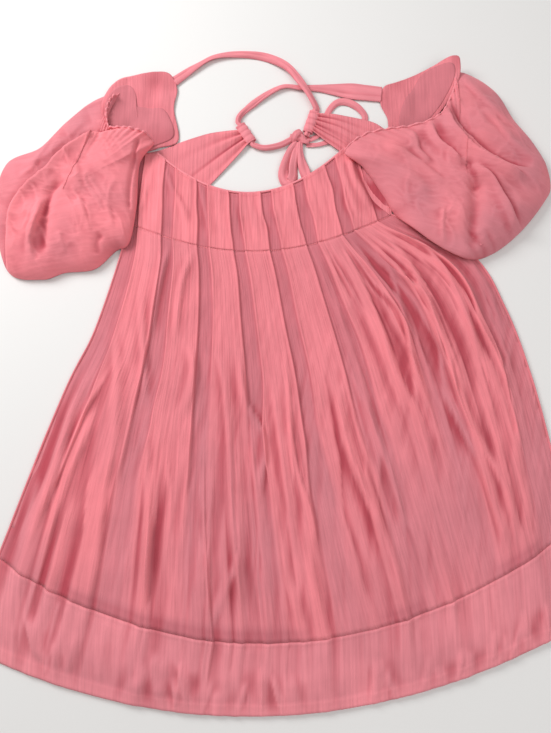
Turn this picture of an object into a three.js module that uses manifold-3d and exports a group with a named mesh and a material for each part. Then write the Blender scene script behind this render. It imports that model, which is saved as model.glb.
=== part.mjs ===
// A gathered cotton dress with puff sleeves and a tie back, lying flat with its front up.
// Millimetres. +X runs across the dress, +Y from the hem towards the neckline, +Z up from the table.
// While it is drawn, x = 0 is the middle of the bodice and y = 0 the lowest point of the underbust seam.
import * as THREE from "three";
import { mergeVertices } from "three/addons/utils/BufferGeometryUtils.js";
import Module from "manifold-3d";

const wasm = await Module();
wasm.setup();

// Cloth and seams
const cloth = 1.2; // one ply with its crinkle
const pleatedCloth = 2.4; // the front's folded outer ply
const gap = 0.4; // between neighbouring pieces
const bodyGap = 8; // air between the front and the back where the body goes
const seamWidth = 3;
const bindingWidth = 5;

// Bodice
const chestWidth = 418;
const underbustDrop = 59; // the seam's middle below the line between its ends
const underbustSideHeight = 59; // its ends above its lowest point, on average
const underbustTilt = 12; // its right end above its left end
const underarmHeight = 30; // from the underbust seam's end up to the armhole
const necklineWidth = 302;
const necklineDepth = 75;
const necklineCentre = -13;
const necklineCornerHeight = 169; // left corner, above y = 0
const necklineTilt = 9;
const shoulderWidth = 38; // from a neckline corner out to the armhole

// Skirt and hem band
const hemWidth = 848;
const hemCentre = 32;
const skirtSideLength = 503; // down the left side from the underbust seam to the band
const bandSeamDrop = 128;
const bandSeamTilt = 38; // the right side's seam above the left side's
const hemDrop = 102;
const bandSideHeight = 118;
const bandFlare = 29;
const liningShort = 0.09; // share of the skirt that its lining leaves bare above the band

// Sleeves
const sleeveHeight = 46;
const sleeveRim = 20; // rounding of the sleeve's edge, in plan
const sleeveWall = 2;
const elasticWidth = 1.5;
const sleeveBindingHeight = 9;
const cuffWidth = 104;
const cuffHeight = 17;
const cuffLength = 22;
const cuffWall = 3;
const cuffGroove = 1.8;
const cuffElasticLength = 9;

// Ties and bow
const tieWidth = 12.6;
const tieRootWidth = 26;
const tieThickness = 4.8;
const casingWall = 1.5;
const knotWidth = 14;
const knotLength = 18;
const knotHeight = 13;
const loopThickness = 5;
const hiddenLoopWidth = 9;
const hiddenLoopThickness = 1.5;

// Heights of the plies above the table
const backLevel = [0, cloth];
const backLiningLevel = [cloth + gap, 2 * cloth + gap];
const frontLiningLow = backLiningLevel[1] + bodyGap;
const frontLiningLevel = [frontLiningLow, frontLiningLow + cloth];
const frontLevel = [frontLiningLevel[1] + gap, frontLiningLevel[1] + gap + pleatedCloth];
const rightWingLevel = [backLiningLevel[1] + gap, backLiningLevel[1] + gap + cloth];

const finishes = {
  gauze: new THREE.MeshStandardMaterial({ color: 0xf08a96, roughness: 0.85, metalness: 0 }),
  lining: new THREE.MeshStandardMaterial({ color: 0xdc7a88, roughness: 0.88, metalness: 0 }),
  band: new THREE.MeshStandardMaterial({ color: 0xf79aa2, roughness: 0.82, metalness: 0 }),
  seam: new THREE.MeshStandardMaterial({ color: 0xd96f7f, roughness: 0.85, metalness: 0 }),
  elastic: new THREE.MeshStandardMaterial({ color: 0xf4e4e4, roughness: 0.7, metalness: 0 }),
};

const dress = new THREE.Group();

function addPiece(name, finish, geometry) {
  const mesh = new THREE.Mesh(geometry, finishes[finish].clone());
  mesh.name = name;
  dress.add(mesh);
}

const at = (x, y) => new THREE.Vector2(x, y);
const between = (a, b, share) => a + (b - a) * share;
const listed = (pairs) => pairs.map(([x, y]) => at(x, y));

// Evenly spaced points along a smooth curve through the given points.
function smooth(points, steps) {
  return new THREE.SplineCurve(points).getSpacedPoints(steps);
}

// The direction square to a path at each of its points, to the left of travel.
function sideways(points, i, closed) {
  const last = points.length - 1;
  const before = points[i > 0 ? i - 1 : closed ? last : 0];
  const after = points[i < last ? i + 1 : closed ? 0 : last];
  const a = points[i].clone().sub(before).normalize();
  const b = after.clone().sub(points[i]).normalize();
  if (a.lengthSq() === 0) a.copy(b);
  if (b.lengthSq() === 0) b.copy(a);
  const mitre = at(-a.y - b.y, a.x + b.x);
  return mitre.divideScalar(Math.max(0.5, 1 + a.dot(b)));
}

// The outline moved inwards all round by a distance, or outwards by a negative one.
function inset(outline, distance) {
  const points = THREE.ShapeUtils.isClockWise(outline) ? [...outline].reverse() : outline;
  return points.map((p, i) => p.clone().addScaledVector(sideways(points, i, true), distance));
}

// A path moved to its left by a distance, or to its right by a negative one.
function beside(path, distance) {
  return path.map((p, i) => p.clone().addScaledVector(sideways(path, i, false), distance));
}

// A path given width, as a closed outline.
function ribbon(path, width) {
  return [...beside(path, width / 2), ...beside(path, -width / 2).reverse()];
}

// A flat piece: an outline between two heights.
function plate(outline, [low, high]) {
  const settings = { depth: high - low, bevelEnabled: false };
  return new THREE.ExtrudeGeometry(new THREE.Shape(outline), settings).translate(0, 0, low);
}

function solidOf(geometry) {
  const bare = geometry.clone();
  bare.deleteAttribute("normal");
  bare.deleteAttribute("uv");
  const merged = mergeVertices(bare, 1e-4);
  const vertProperties = merged.attributes.position.array;
  const triVerts = new Uint32Array(merged.index.array);
  return new wasm.Manifold(new wasm.Mesh({ numProp: 3, vertProperties, triVerts }));
}

function geometryOf(solid) {
  const { vertProperties, triVerts } = solid.getMesh();
  return new THREE.BufferGeometry()
    .setAttribute("position", new THREE.BufferAttribute(vertProperties, 3))
    .setIndex(new THREE.BufferAttribute(triVerts, 1));
}

// The largest body of a cut solid, without the crumbs and slivers that a cut leaves.
function largest(solid) {
  const sliver = 0.1;
  return solid.decompose().reduce((a, b) => (a.volume() > b.volume() ? a : b)).simplify(sliver);
}

// Rings of points joined into a closed solid, with a point at the middle of each end.
function loft(rings) {
  const size = rings[0].length;
  const middle = (ring) => ring.reduce((sum, p) => sum.add(p), new THREE.Vector3()).divideScalar(size);
  const points = [...rings.flat(), middle(rings[0]), middle(rings.at(-1))];
  const [first, last] = [points.length - 2, points.length - 1];
  const faces = [];
  for (let j = 0; j < size; j += 1) {
    const next = (j + 1) % size;
    for (let i = 0; i + 1 < rings.length; i += 1) {
      const [a, b, c, d] = [i * size + j, i * size + next, (i + 1) * size + next, (i + 1) * size + j];
      faces.push(a, b, c, a, c, d);
    }
    const end = (rings.length - 1) * size;
    faces.push(first, next, j, last, end + j, end + next);
  }
  return new THREE.BufferGeometry().setFromPoints(points).setIndex(faces);
}

// A cloth strap along a path, with an oval section that stays level.
function strap(points, startWidth, endWidth, thickness, steps, sides = 10) {
  const curve = new THREE.CatmullRomCurve3(points);
  const rings = [];
  for (let i = 0; i <= steps; i += 1) {
    const share = i / steps;
    const centre = curve.getPointAt(share);
    const along = curve.getTangentAt(share);
    const side = new THREE.Vector3(along.y, -along.x, 0).normalize();
    const up = new THREE.Vector3().crossVectors(side, along).normalize();
    const width = between(startWidth, endWidth, Math.min(1, 2.5 * share));
    rings.push(Array.from({ length: sides }, (_, k) => {
      const angle = (2 * Math.PI * k) / sides;
      return centre.clone()
        .addScaledVector(side, (width / 2) * Math.cos(angle))
        .addScaledVector(up, (-thickness / 2) * Math.sin(angle));
    }));
  }
  return loft(rings);
}

// ---- the body's outline ----

const bodiceLeft = -chestWidth / 2;
const bodiceRight = chestWidth / 2;
const underbustLeft = at(bodiceLeft, underbustSideHeight - underbustTilt / 2);
const underbustRight = at(bodiceRight, underbustSideHeight + underbustTilt / 2);
const bandLeft = at(hemCentre - hemWidth / 2 + bandFlare, underbustLeft.y - skirtSideLength);
const bandRight = at(hemCentre + hemWidth / 2 - bandFlare / 2, bandLeft.y + bandSeamTilt);
const hemLeft = at(bandLeft.x - bandFlare, bandLeft.y - bandSideHeight);
const hemRight = at(bandRight.x + bandFlare / 2, bandRight.y - bandSideHeight);

// How far out (first) each side has flared at each share of its way down (second).
const leftFlare = [[0, 0], [0.04, 0.11], [0.25, 0.35], [0.46, 0.5], [0.7, 0.71], [1, 1]];
const rightFlare = [[0, 0], [0.52, 0.14], [0.72, 0.32], [0.85, 0.54], [0.94, 0.78], [1, 1]];

function skirtSide(top, bottom, flare) {
  const points = flare.map(([out, down]) =>
    at(between(top.x, bottom.x, out), between(top.y, bottom.y, down)));
  return new THREE.SplineCurve(points);
}

const leftSide = skirtSide(underbustLeft, bandLeft, leftFlare);
const rightSide = skirtSide(underbustRight, bandRight, rightFlare);

// A point of the skirt: across from 0 at the left side to 1 at the right, down from 0 to 1.
function skirtPoint(across, down) {
  const point = leftSide.getPointAt(down).lerp(rightSide.getPointAt(down), across);
  point.y -= between(underbustDrop, bandSeamDrop, down) * 4 * across * (1 - across);
  return point;
}

// A point of the hem band, in the same way.
function bandPoint(across, down) {
  const left = bandLeft.clone().lerp(hemLeft, down);
  const point = left.lerp(bandRight.clone().lerp(hemRight, down), across);
  point.y -= between(bandSeamDrop, hemDrop, down) * 4 * across * (1 - across);
  return point;
}

// The border of a stretch of the skirt or band, from one share of its way down to another.
function patchOutline(pointAt, top, bottom, acrossSteps = 24, downSteps = 20) {
  const run = (count, make) => Array.from({ length: count }, (_, i) => make(i / count));
  return [
    ...run(downSteps, (s) => pointAt(0, between(top, bottom, s))),
    ...run(acrossSteps, (s) => pointAt(s, bottom)),
    ...run(downSteps, (s) => pointAt(1, between(bottom, top, s))),
    ...run(acrossSteps, (s) => pointAt(1 - s, top)),
  ];
}

// The same surface brought in from both of its sides by a margin.
function within(pointAt, margin) {
  return (across, down) => {
    const share = margin / pointAt(0, down).distanceTo(pointAt(1, down));
    return pointAt(between(share, 1 - share, across), down);
  };
}

const sideMargin = seamWidth + 2 * gap;
const waistShare = (seamWidth + 2 * gap) / skirtSideLength;
const line = (pointAt, down, steps = 24) =>
  Array.from({ length: steps + 1 }, (_, i) => pointAt(i / steps, down));

const underarmLeft = at(underbustLeft.x + 1, underbustLeft.y + underarmHeight);
const underarmRight = at(underbustRight.x, underbustRight.y + underarmHeight);
const neckLeft = at(necklineCentre - necklineWidth / 2, necklineCornerHeight);
const neckRight = at(necklineCentre + necklineWidth / 2, necklineCornerHeight + necklineTilt);
const shoulderLeft = at(neckLeft.x - shoulderWidth, neckLeft.y);
const shoulderRight = at(neckRight.x + shoulderWidth, neckRight.y);
const armholeStart = (underarm, inwards) => at(underarm.x + inwards * sideMargin, underarm.y + gap);
const armholeLeft = smooth([
  armholeStart(underarmLeft, 1), at(between(underarmLeft.x, shoulderLeft.x, 0.8), 130), shoulderLeft,
], 8);
const armholeRight = smooth([
  armholeStart(underarmRight, -1), at(between(underarmRight.x, shoulderRight.x, 0.4), 135), shoulderRight,
], 8);

// The scoop: a parabola hung between the neckline's corners.
const necklineSteps = 20;
const neckline = Array.from({ length: necklineSteps + 1 }, (_, i) => {
  const share = i / necklineSteps;
  const point = neckLeft.clone().lerp(neckRight, share);
  point.y -= 4 * necklineDepth * share * (1 - share);
  return point;
});

// ---- front and back panels ----

function addSkirt() {
  const shell = inset(patchOutline(within(skirtPoint, sideMargin), waistShare, 1), gap / 2);
  const liningEnd = 1 - liningShort;
  const lining = inset(patchOutline(within(skirtPoint, sideMargin), waistShare, liningEnd), gap);
  const band = inset(patchOutline(within(bandPoint, sideMargin), 0, 1, 24, 3), gap / 2);
  addPiece("front_skirt", "gauze", plate(shell, frontLevel));
  addPiece("front_skirt_lining", "lining", plate(lining, frontLiningLevel));
  addPiece("front_hem_band", "band", plate(band, frontLevel));
  addPiece("front_hem_facing", "band", plate(band, frontLiningLevel));
  addPiece("back_skirt", "gauze", plate(shell, backLevel));
  addPiece("back_skirt_lining", "lining", plate(lining, backLiningLevel));
  addPiece("back_hem_band", "band", plate(band, backLevel));
  addPiece("back_hem_facing", "band", plate(band, backLiningLevel));
}

function addBodice() {
  const outline = [
    ...line(within(skirtPoint, sideMargin), 0),
    ...armholeRight,
    ...beside(neckline, -bindingWidth - gap).reverse(),
    ...armholeLeft.toReversed(),
  ];
  addPiece("front_bodice", "gauze", plate(inset(outline, gap / 2), frontLevel));
  addPiece("front_bodice_lining", "lining", plate(inset(outline, gap / 2), frontLiningLevel));
  const binding = ribbon(beside(neckline, -bindingWidth / 2), bindingWidth);
  addPiece("neckline_binding", "seam", plate(binding, [frontLiningLevel[0], frontLevel[1]]));
}

// A strip from the underarm down the side of the skirt and hem band.
function sideSeamOutline(side) {
  const across = side === "left" ? 0 : 1;
  const underarm = side === "left" ? underarmLeft : underarmRight;
  const downs = Array.from({ length: 21 }, (_, i) => i / 20);
  const edge = (margin) => [
    at(underarm.x + (across === 0 ? margin : -margin), underarm.y),
    ...downs.map((down) => within(skirtPoint, margin)(across, down)),
    ...[0.5, 1].map((down) => within(bandPoint, margin)(across, down)),
  ];
  return [...edge(0), ...edge(seamWidth).reverse()];
}

function addSeams() {
  const waist = line(within(skirtPoint, sideMargin + gap), waistShare / 2);
  addPiece("underbust_seam", "seam", plate(ribbon(waist, seamWidth), frontLevel));
  addPiece("back_waist_seam", "seam", plate(ribbon(waist, seamWidth), backLevel));
  for (const side of ["left", "right"]) {
    addPiece(`side_seam_${side}`, "seam", plate(sideSeamOutline(side), [backLevel[0], frontLevel[1]]));
  }
}

// ---- the back above the waist: wings, casings, yokes ----

const knotCentre = at(61, 198);
const casings = {
  left: { inner: at(-31, 219), outer: at(-12, 189) },
  right: { inner: at(90, 243), outer: at(78, 206) },
};
const casingOuterWidth = tieWidth + 2 * (gap + casingWall);
const casingOuterHeight = tieThickness + 2 * (gap + casingWall);
const casingMiddle = gap + casingOuterHeight / 2;

function wingOutline(side) {
  const { inner, outer } = casings[side];
  const along = outer.clone().sub(inner).normalize();
  const towardsWing = side === "left" ? at(along.y, -along.x) : at(-along.y, along.x);
  const off = towardsWing.multiplyScalar(casingOuterWidth / 2 + gap);
  const top = inner.clone().add(off);
  const bottom = outer.clone().add(off);
  if (side === "left") {
    const waist = line(within(skirtPoint, sideMargin), 0).filter((p) => p.x < bodiceLeft + 55);
    const armhole = smooth([at(-189, 170), at(-201, 140), armholeLeft[0]], 5);
    const upper = smooth([top, at(-89, 204), at(-129, 190), at(-161, 176), at(-189, 170)], 8);
    const lower = smooth([waist.at(-1), at(-83, 108), at(-41, 156), bottom], 8);
    return [...upper, ...armhole.slice(1), ...waist, ...lower.slice(1)];
  }
  const waist = line(within(skirtPoint, sideMargin), 0).filter((p) => p.x > bodiceRight - 55);
  const armhole = smooth([armholeRight[0], at(212, 150), at(204, 214)], 5);
  const upper = smooth([at(204, 214), at(188, 225), at(140, 234), top], 8);
  const lower = smooth([bottom, at(138, 164), at(172, 108), waist[0]], 8);
  return [...lower, ...waist.slice(1), ...armhole, ...upper.slice(1)];
}

// A straight tube with a rounded-off square section, lying level between two points.
function casing({ inner, outer }) {
  const length = inner.distanceTo(outer);
  const section = (width, height) => new THREE.Shape(listed([
    [-width / 2, -height / 4], [-width / 4, -height / 2], [width / 4, -height / 2],
    [width / 2, -height / 4], [width / 2, height / 4], [width / 4, height / 2],
    [-width / 4, height / 2], [-width / 2, height / 4],
  ]));
  const shape = section(casingOuterWidth, casingOuterHeight);
  shape.holes.push(section(tieWidth + 2 * gap, tieThickness + 2 * gap));
  const tube = new THREE.ExtrudeGeometry(shape, { depth: length, bevelEnabled: false });
  tube.rotateX(Math.PI / 2);
  tube.rotateZ(Math.atan2(outer.y - inner.y, outer.x - inner.x) + Math.PI / 2);
  return tube.translate(inner.x, inner.y, casingMiddle);
}

const yokeOutlines = {
  left: listed([
    [-232, 300], [-183, 313], [-150, 313], [-136, 287], [-140, 250], [-131, 194], [-161, 180],
    [-189, 175], [-236, 195], [-256, 235], [-255, 265],
  ]),
  right: listed([
    [204, 289], [232, 302], [283, 321], [318, 332], [326, 318], [322, 290], [296, 242],
    [262, 212], [216, 206], [208, 236], [198, 261],
  ]),
};
const liningSetBack = 9;

function addBack() {
  const wingLevels = { left: backLevel, right: rightWingLevel };
  for (const side of ["left", "right"]) {
    addPiece(`back_wing_${side}`, "gauze", plate(inset(wingOutline(side), gap / 2), wingLevels[side]));
    addPiece(`wing_casing_${side}`, "band", casing(casings[side]));
    const yoke = yokeOutlines[side];
    addPiece(`back_yoke_${side}`, "gauze", plate(inset(yoke, gap / 2), backLevel));
    addPiece(`yoke_lining_${side}`, "lining", plate(inset(yoke, liningSetBack), backLiningLevel));
  }
}

// ---- ties and bow ----

const lowTie = gap + tieThickness / 2;
const overTie = 2 * gap + 1.6 * tieThickness + 1;
const tieSteps = 44;
const raised = (points) => points.map(([x, y, z]) => new THREE.Vector3(x, y, z));

// Points that lead a tie straight through its casing, from a little before it to a little after.
function throughCasing({ inner, outer }) {
  return [-0.2, 0, 0.5, 1, 1.18].map((share) => {
    const point = inner.clone().lerp(outer, share);
    return [point.x, point.y, casingMiddle];
  });
}

const tiePaths = {
  left: raised([
    [-141.9, 300.8, lowTie], [-108, 327, lowTie], [-76, 347, lowTie], [-34, 352, lowTie],
    [8, 346, lowTie + 1], [42, 326, overTie], [62, 302, overTie + 1], [80, 274, overTie],
    ...throughCasing(casings.right),
  ]),
  right: raised([
    [200.4, 277, lowTie], [149, 283, lowTie], [100, 288, lowTie], [66, 290, lowTie],
    [40, 292, lowTie], [14, 279, lowTie], [-14, 256, lowTie], [-31, 238, lowTie + 1],
    ...throughCasing(casings.left),
    [10, 179, casingMiddle], [34, 184, casingMiddle],
    [knotCentre.x - knotWidth / 2 - gap, knotCentre.y - 3, casingMiddle],
  ]),
};

function oval(centre, width, length, steps = 20) {
  return new THREE.EllipseCurve(centre.x, centre.y, width / 2, length / 2).getPoints(steps).slice(1);
}

function addTies() {
  addPiece("tie_left", "band", strap(tiePaths.left, 16, tieWidth, tieThickness, tieSteps));
  addPiece("tie_right", "band", strap(tiePaths.right, tieRootWidth, tieWidth, tieThickness, tieSteps));
  const knot = oval(knotCentre, knotWidth, knotLength);
  addPiece("bow_knot", "band", plate(knot, [gap, knotHeight]));
  const under = knotCentre.y - knotLength / 2 - gap;
  const loopLevel = [gap, gap + loopThickness];
  const loop = [
    at(57, under), at(46, 172), at(37, 146), at(35, 128), at(41, 119), at(52, 118), at(60, 127),
    at(61, 150), at(64, under),
  ];
  addPiece("bow_loop", "band", plate(loop, loopLevel));
  const tail = [
    at(65, under + 1.5), at(62.5, 150), at(63.5, 132), at(74, 132), at(84, 137), at(79, 160),
    at(69, under + 1),
  ];
  addPiece("bow_tail", "band", plate(tail, loopLevel));
  const hidden = smooth(listed([
    [knotCentre.x + 8, 195], [84, 196.5], [98, 206], [106, 228], [114, 248], [128, 262], [146, 262],
    [164, 250], [172, 232], [152, 212], [122, 196], [96, 187], [knotCentre.x + 15, 186],
  ]), 30);
  const hiddenLevel = [gap, gap + hiddenLoopThickness];
  addPiece("bow_loop_behind", "band", plate(ribbon(hidden, hiddenLoopWidth), hiddenLevel));
}

// ---- sleeves ----

// Each outline starts at the neckline's corner; its first points are the neck edge.
const sleeves = {
  left: {
    neckEdge: [[-167, 180], [-202, 197], [-236, 203], [-246, 228], [-244, 254], [-231, 279]],
    rest: [
      [-271, 265], [-316, 224], [-353, 180], [-405, 151], [-416, 75], [-388, -28], [-335, -43],
      [-298, -32], [-253, -26], [-222, 3], [-198, 14], [-189, 71], [-189, 147],
    ],
    fold: [at(-202, 0), at(-261, 290)],
    outwards: -1,
    cuff: { x: -318, y: -20, turn: 0, low: gap },
  },
  right: {
    neckEdge: [
      [135, 163], [167, 189], [199, 198], [247, 206], [287, 224], [306, 256], [317, 287], [317, 316],
    ],
    rest: [
      [349, 308], [387, 277], [414, 224], [438, 189], [457, 149], [462, 110], [451, 86], [415, 41],
      [373, 5], [334, -12], [304, -10], [261, 16], [217, 58], [195, 95], [166, 137],
    ],
    fold: [at(228, 40), at(338, 320)],
    outwards: 1,
    cuff: { x: 372, y: 28, turn: 0.62, low: frontLevel[1] + 2 * gap },
  },
};
const sleeveLow = gap;
const sleeveMiddle = sleeveLow + sleeveHeight / 2;

function sleeveCurve({ neckEdge, rest }) {
  const points = raised([...neckEdge, ...rest].map(([x, y]) => [x, y, 0]));
  return new THREE.CatmullRomCurve3(points, true);
}

const flat = (points) => points.map((p) => at(p.x, p.y));

// A stuffed shape: the outline at mid height, drawn in towards its middle above and below.
function pillow(drawn, low, high, rim) {
  const outline = inset(drawn, 0);
  const middle = outline.reduce((sum, p) => sum.add(p), at(0, 0)).divideScalar(outline.length);
  const reach = outline.reduce((sum, p) => sum + p.distanceTo(middle), 0) / outline.length;
  const steps = 8;
  const rings = [];
  for (let i = 0; i <= steps; i += 1) {
    const angle = -Math.PI / 2 + (Math.PI * i) / steps;
    const share = 1 - (rim * (1 - Math.cos(angle))) / reach;
    const z = between(low, high, (1 + Math.sin(angle)) / 2);
    rings.push(outline.map((p) => {
      const q = middle.clone().lerp(p, share);
      return new THREE.Vector3(q.x, q.y, z);
    }));
  }
  return loft(rings);
}

// A big block on one side of a line on the table, starting a little way off it.
function blockBeyond([a, b], side, away, [low, high]) {
  const far = 900;
  const along = b.clone().sub(a).normalize();
  const out = at(along.y, -along.x).multiplyScalar(side);
  const near = a.clone().lerp(b, 0.5).addScaledVector(out, away);
  const corner = (u, v) => near.clone().addScaledVector(along, u * far).addScaledVector(out, v * far);
  return solidOf(plate([corner(-1, 0), corner(1, 0), corner(1, 1), corner(-1, 1)], [low, high]));
}

// Everything that the sleeves lie on, grown by the gap.
function bedUnderSleeves() {
  const bodyHigh = frontLevel[1] + gap;
  const edge = within(skirtPoint, seamWidth / 2);
  const body = [
    ...Array.from({ length: 13 }, (_, i) => edge(0, 0.6 * (i / 12))),
    ...Array.from({ length: 13 }, (_, i) => edge(1, 0.6 * (1 - i / 12))),
    ...armholeRight,
    ...neckline.toReversed(),
    ...armholeLeft.toReversed(),
  ];
  const layers = [
    [body, bodyHigh],
    [sideSeamOutline("left"), bodyHigh],
    [sideSeamOutline("right"), bodyHigh],
    [ribbon(armholeLeft, 2 * (seamWidth + gap)), bodyHigh],
    [ribbon(armholeRight, 2 * (seamWidth + gap)), bodyHigh],
    [wingOutline("left"), backLevel[1] + gap],
    [wingOutline("right"), rightWingLevel[1] + gap],
    [yokeOutlines.left, backLiningLevel[1] + gap],
    [yokeOutlines.right, backLiningLevel[1] + gap],
  ];
  return layers
    .map(([outline, high]) => solidOf(plate(inset(outline, -gap), [-1, high])))
    .reduce((a, b) => a.add(b));
}

function ovalTube(width, height, hole, length) {
  const rounded = (w, h) => new THREE.Path().absellipse(0, 0, w / 2, h / 2, 0, 2 * Math.PI);
  const shape = new THREE.Shape(rounded(width, height).getPoints(16).slice(1));
  if (hole) shape.holes.push(new THREE.Path(rounded(...hole).getPoints(16).slice(1)));
  const tube = new THREE.ExtrudeGeometry(shape, { depth: length, bevelEnabled: false });
  return tube.rotateX(Math.PI / 2).translate(0, length / 2, 0);
}

function placedCuff(geometry, { x, y, turn, low }) {
  return geometry.rotateZ(turn).translate(x, y, low + cuffHeight / 2);
}

function addSleeve(side, bed) {
  const sleeve = sleeves[side];
  const curve = sleeveCurve(sleeve);
  const neckEnd = (sleeve.neckEdge.length - 1) / (sleeve.neckEdge.length + sleeve.rest.length);
  const run = (from, to, steps) => flat(Array.from({ length: steps }, (_, i) =>
    curve.getPoint(between(from, to, i / steps))));
  const neck = run(0, neckEnd, 24);
  const outline = [...neck, ...run(neckEnd, 1, 54)];
  const outer = solidOf(pillow(outline, sleeveLow, sleeveLow + sleeveHeight, sleeveRim));
  const inner = solidOf(pillow(
    inset(outline, sleeveWall), sleeveLow + sleeveWall, sleeveLow + sleeveHeight - sleeveWall, sleeveRim,
  ));
  const levels = [-1, sleeveHeight + 2];
  const { outwards, fold, cuff } = sleeve;
  const mouth = solidOf(placedCuff(
    ovalTube(cuffWidth + 2 * gap, cuffHeight + 2 * gap, null, 3 * cuffLength), cuff));
  const shell = outer.subtract(inner).subtract(bed);
  const puff = shell.intersect(blockBeyond(fold, outwards, gap, levels)).subtract(mouth);
  const head = shell.intersect(blockBeyond(fold, -outwards, gap, levels));
  addPiece(`sleeve_puff_${side}`, "gauze", geometryOf(largest(puff)));
  addPiece(`sleeve_head_${side}`, "gauze", geometryOf(largest(head)));

  const outwardSide = THREE.ShapeUtils.isClockWise(outline) ? 1 : -1;
  const elasticAway = gap + elasticWidth / 2;
  const bindingAway = 2 * gap + elasticWidth + sleeveWall / 2;
  const half = sleeveBindingHeight / 2;
  const neckLevels = [sleeveMiddle - half, sleeveMiddle + half];
  const elasticLevels = [sleeveMiddle - half / 2, sleeveMiddle + half / 2];
  const elasticPath = beside(neck, outwardSide * elasticAway);
  const bindingPath = beside(neck, outwardSide * bindingAway);
  addPiece(`sleeve_elastic_${side}`, "elastic", plate(ribbon(elasticPath, elasticWidth), elasticLevels));
  addPiece(`sleeve_binding_${side}`, "seam", plate(ribbon(bindingPath, sleeveWall), neckLevels));

  const hollow = [cuffWidth - 2 * cuffWall, cuffHeight - 2 * cuffWall];
  const groove = [hollow[0] + 2 * cuffGroove, hollow[1] + 2 * cuffGroove];
  const channel = solidOf(placedCuff(ovalTube(...groove, null, cuffElasticLength + 2 * gap), cuff));
  const sleeveEnd = solidOf(placedCuff(ovalTube(cuffWidth, cuffHeight, hollow, cuffLength), cuff));
  addPiece(`cuff_${side}`, "band", geometryOf(sleeveEnd.subtract(channel)));
  const snug = [groove[0] - 2 * gap, groove[1] - 2 * gap];
  const elastic = ovalTube(...snug, hollow, cuffElasticLength);
  addPiece(`cuff_elastic_${side}`, "elastic", placedCuff(elastic, cuff));
}

function addArmholes() {
  const away = gap / 2 + seamWidth / 2;
  const left = ribbon(beside(armholeLeft, away), seamWidth);
  const right = ribbon(beside(armholeRight, -away), seamWidth);
  addPiece("armhole_seam_left", "seam", plate(left, frontLevel));
  addPiece("armhole_seam_right", "seam", plate(right, frontLevel));
}

addSkirt();
addBodice();
addSeams();
addBack();
addTies();
addArmholes();
const bed = bedUnderSleeves();
addSleeve("left", bed);
addSleeve("right", bed);

// The finished dress stands on z = 0 with its box centred on x = 0 and y = 0.
const box = new THREE.Box3().setFromObject(dress);
const centre = box.getCenter(new THREE.Vector3());
dress.position.set(-centre.x, -centre.y, -box.min.z);

export default dress;
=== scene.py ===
import math

import bpy
import numpy as np
from bpy.props import FloatProperty, FloatVectorProperty, PointerProperty
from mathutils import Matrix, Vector


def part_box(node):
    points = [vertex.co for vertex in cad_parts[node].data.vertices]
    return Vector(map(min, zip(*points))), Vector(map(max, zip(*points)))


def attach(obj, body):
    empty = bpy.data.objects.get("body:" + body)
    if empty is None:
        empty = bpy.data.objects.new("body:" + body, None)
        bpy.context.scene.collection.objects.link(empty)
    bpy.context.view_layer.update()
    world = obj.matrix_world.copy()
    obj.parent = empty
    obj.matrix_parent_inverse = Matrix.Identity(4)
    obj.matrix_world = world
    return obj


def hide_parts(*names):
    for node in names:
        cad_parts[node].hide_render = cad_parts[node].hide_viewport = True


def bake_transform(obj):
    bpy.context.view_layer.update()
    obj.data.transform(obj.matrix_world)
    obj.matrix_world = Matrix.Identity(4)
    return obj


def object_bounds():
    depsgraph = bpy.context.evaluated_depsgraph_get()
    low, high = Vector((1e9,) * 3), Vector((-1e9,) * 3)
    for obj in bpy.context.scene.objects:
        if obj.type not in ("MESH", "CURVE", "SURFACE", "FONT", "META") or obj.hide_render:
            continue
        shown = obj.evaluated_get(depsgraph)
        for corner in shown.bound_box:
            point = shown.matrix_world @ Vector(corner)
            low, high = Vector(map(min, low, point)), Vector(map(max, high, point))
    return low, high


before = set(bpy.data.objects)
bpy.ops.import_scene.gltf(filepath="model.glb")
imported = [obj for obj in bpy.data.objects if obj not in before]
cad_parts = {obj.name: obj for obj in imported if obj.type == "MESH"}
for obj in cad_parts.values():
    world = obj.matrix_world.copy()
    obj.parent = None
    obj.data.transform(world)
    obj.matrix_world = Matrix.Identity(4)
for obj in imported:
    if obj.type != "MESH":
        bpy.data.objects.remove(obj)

bl_info = {
    "name": "Gathered Gauze Dress",
    "version": (1, 0, 0),
    "blender": (4, 5, 0),
    "location": "View3D > Sidebar > Dress",
    "description": "Lays out a pleated cotton gauze dress with puff sleeves and a tie back",
    "category": "Add Mesh",
}

# Shapes are drawn in millimetres in the dressmaker's frame: x = 0 is the middle of the bodice, y = 0
# the lowest point of the underbust seam and z = 0 the table. The bow's knot ties it to the CAD frame.
MM = 0.001
KNOT = np.array([61.0, 198.0])
knot_low, knot_high = (np.array(corner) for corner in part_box("bow_knot"))
ORIGIN = ((knot_low + knot_high) / 2)[:2] / MM - KNOT
CAD_LOW, CAD_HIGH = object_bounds()

# Widths and places of the pattern pieces
CHEST = 418.0
UNDERBUST_DROP, BAND_SEAM_DROP, HEM_DROP = 59.0, 128.0, 102.0
UNDERBUST_ENDS = np.array([[-CHEST / 2, 53.0], [CHEST / 2, 65.0]])
BAND_ENDS = np.array([[-363.0, -450.0], [441.5, -412.0]])
HEM_ENDS = np.array([[-392.0, -568.0], [456.0, -530.0]])
SHOULDER_ENDS = np.array([[-202.0, 169.0], [176.0, 178.0]])
NECK_ENDS = np.array([[-164.0, 169.0], [138.0, 178.0]])
NECK_DEPTH = 75.0
LEFT_FLARE = np.array([[0, 0], [0.04, 0.11], [0.25, 0.35], [0.46, 0.5], [0.7, 0.71], [1, 1]])
RIGHT_FLARE = np.array([[0, 0], [0.52, 0.14], [0.72, 0.32], [0.85, 0.54], [0.94, 0.78], [1, 1]])
FAN = 0.06  # how far the pleats lean towards the right as they run down the skirt

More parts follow.
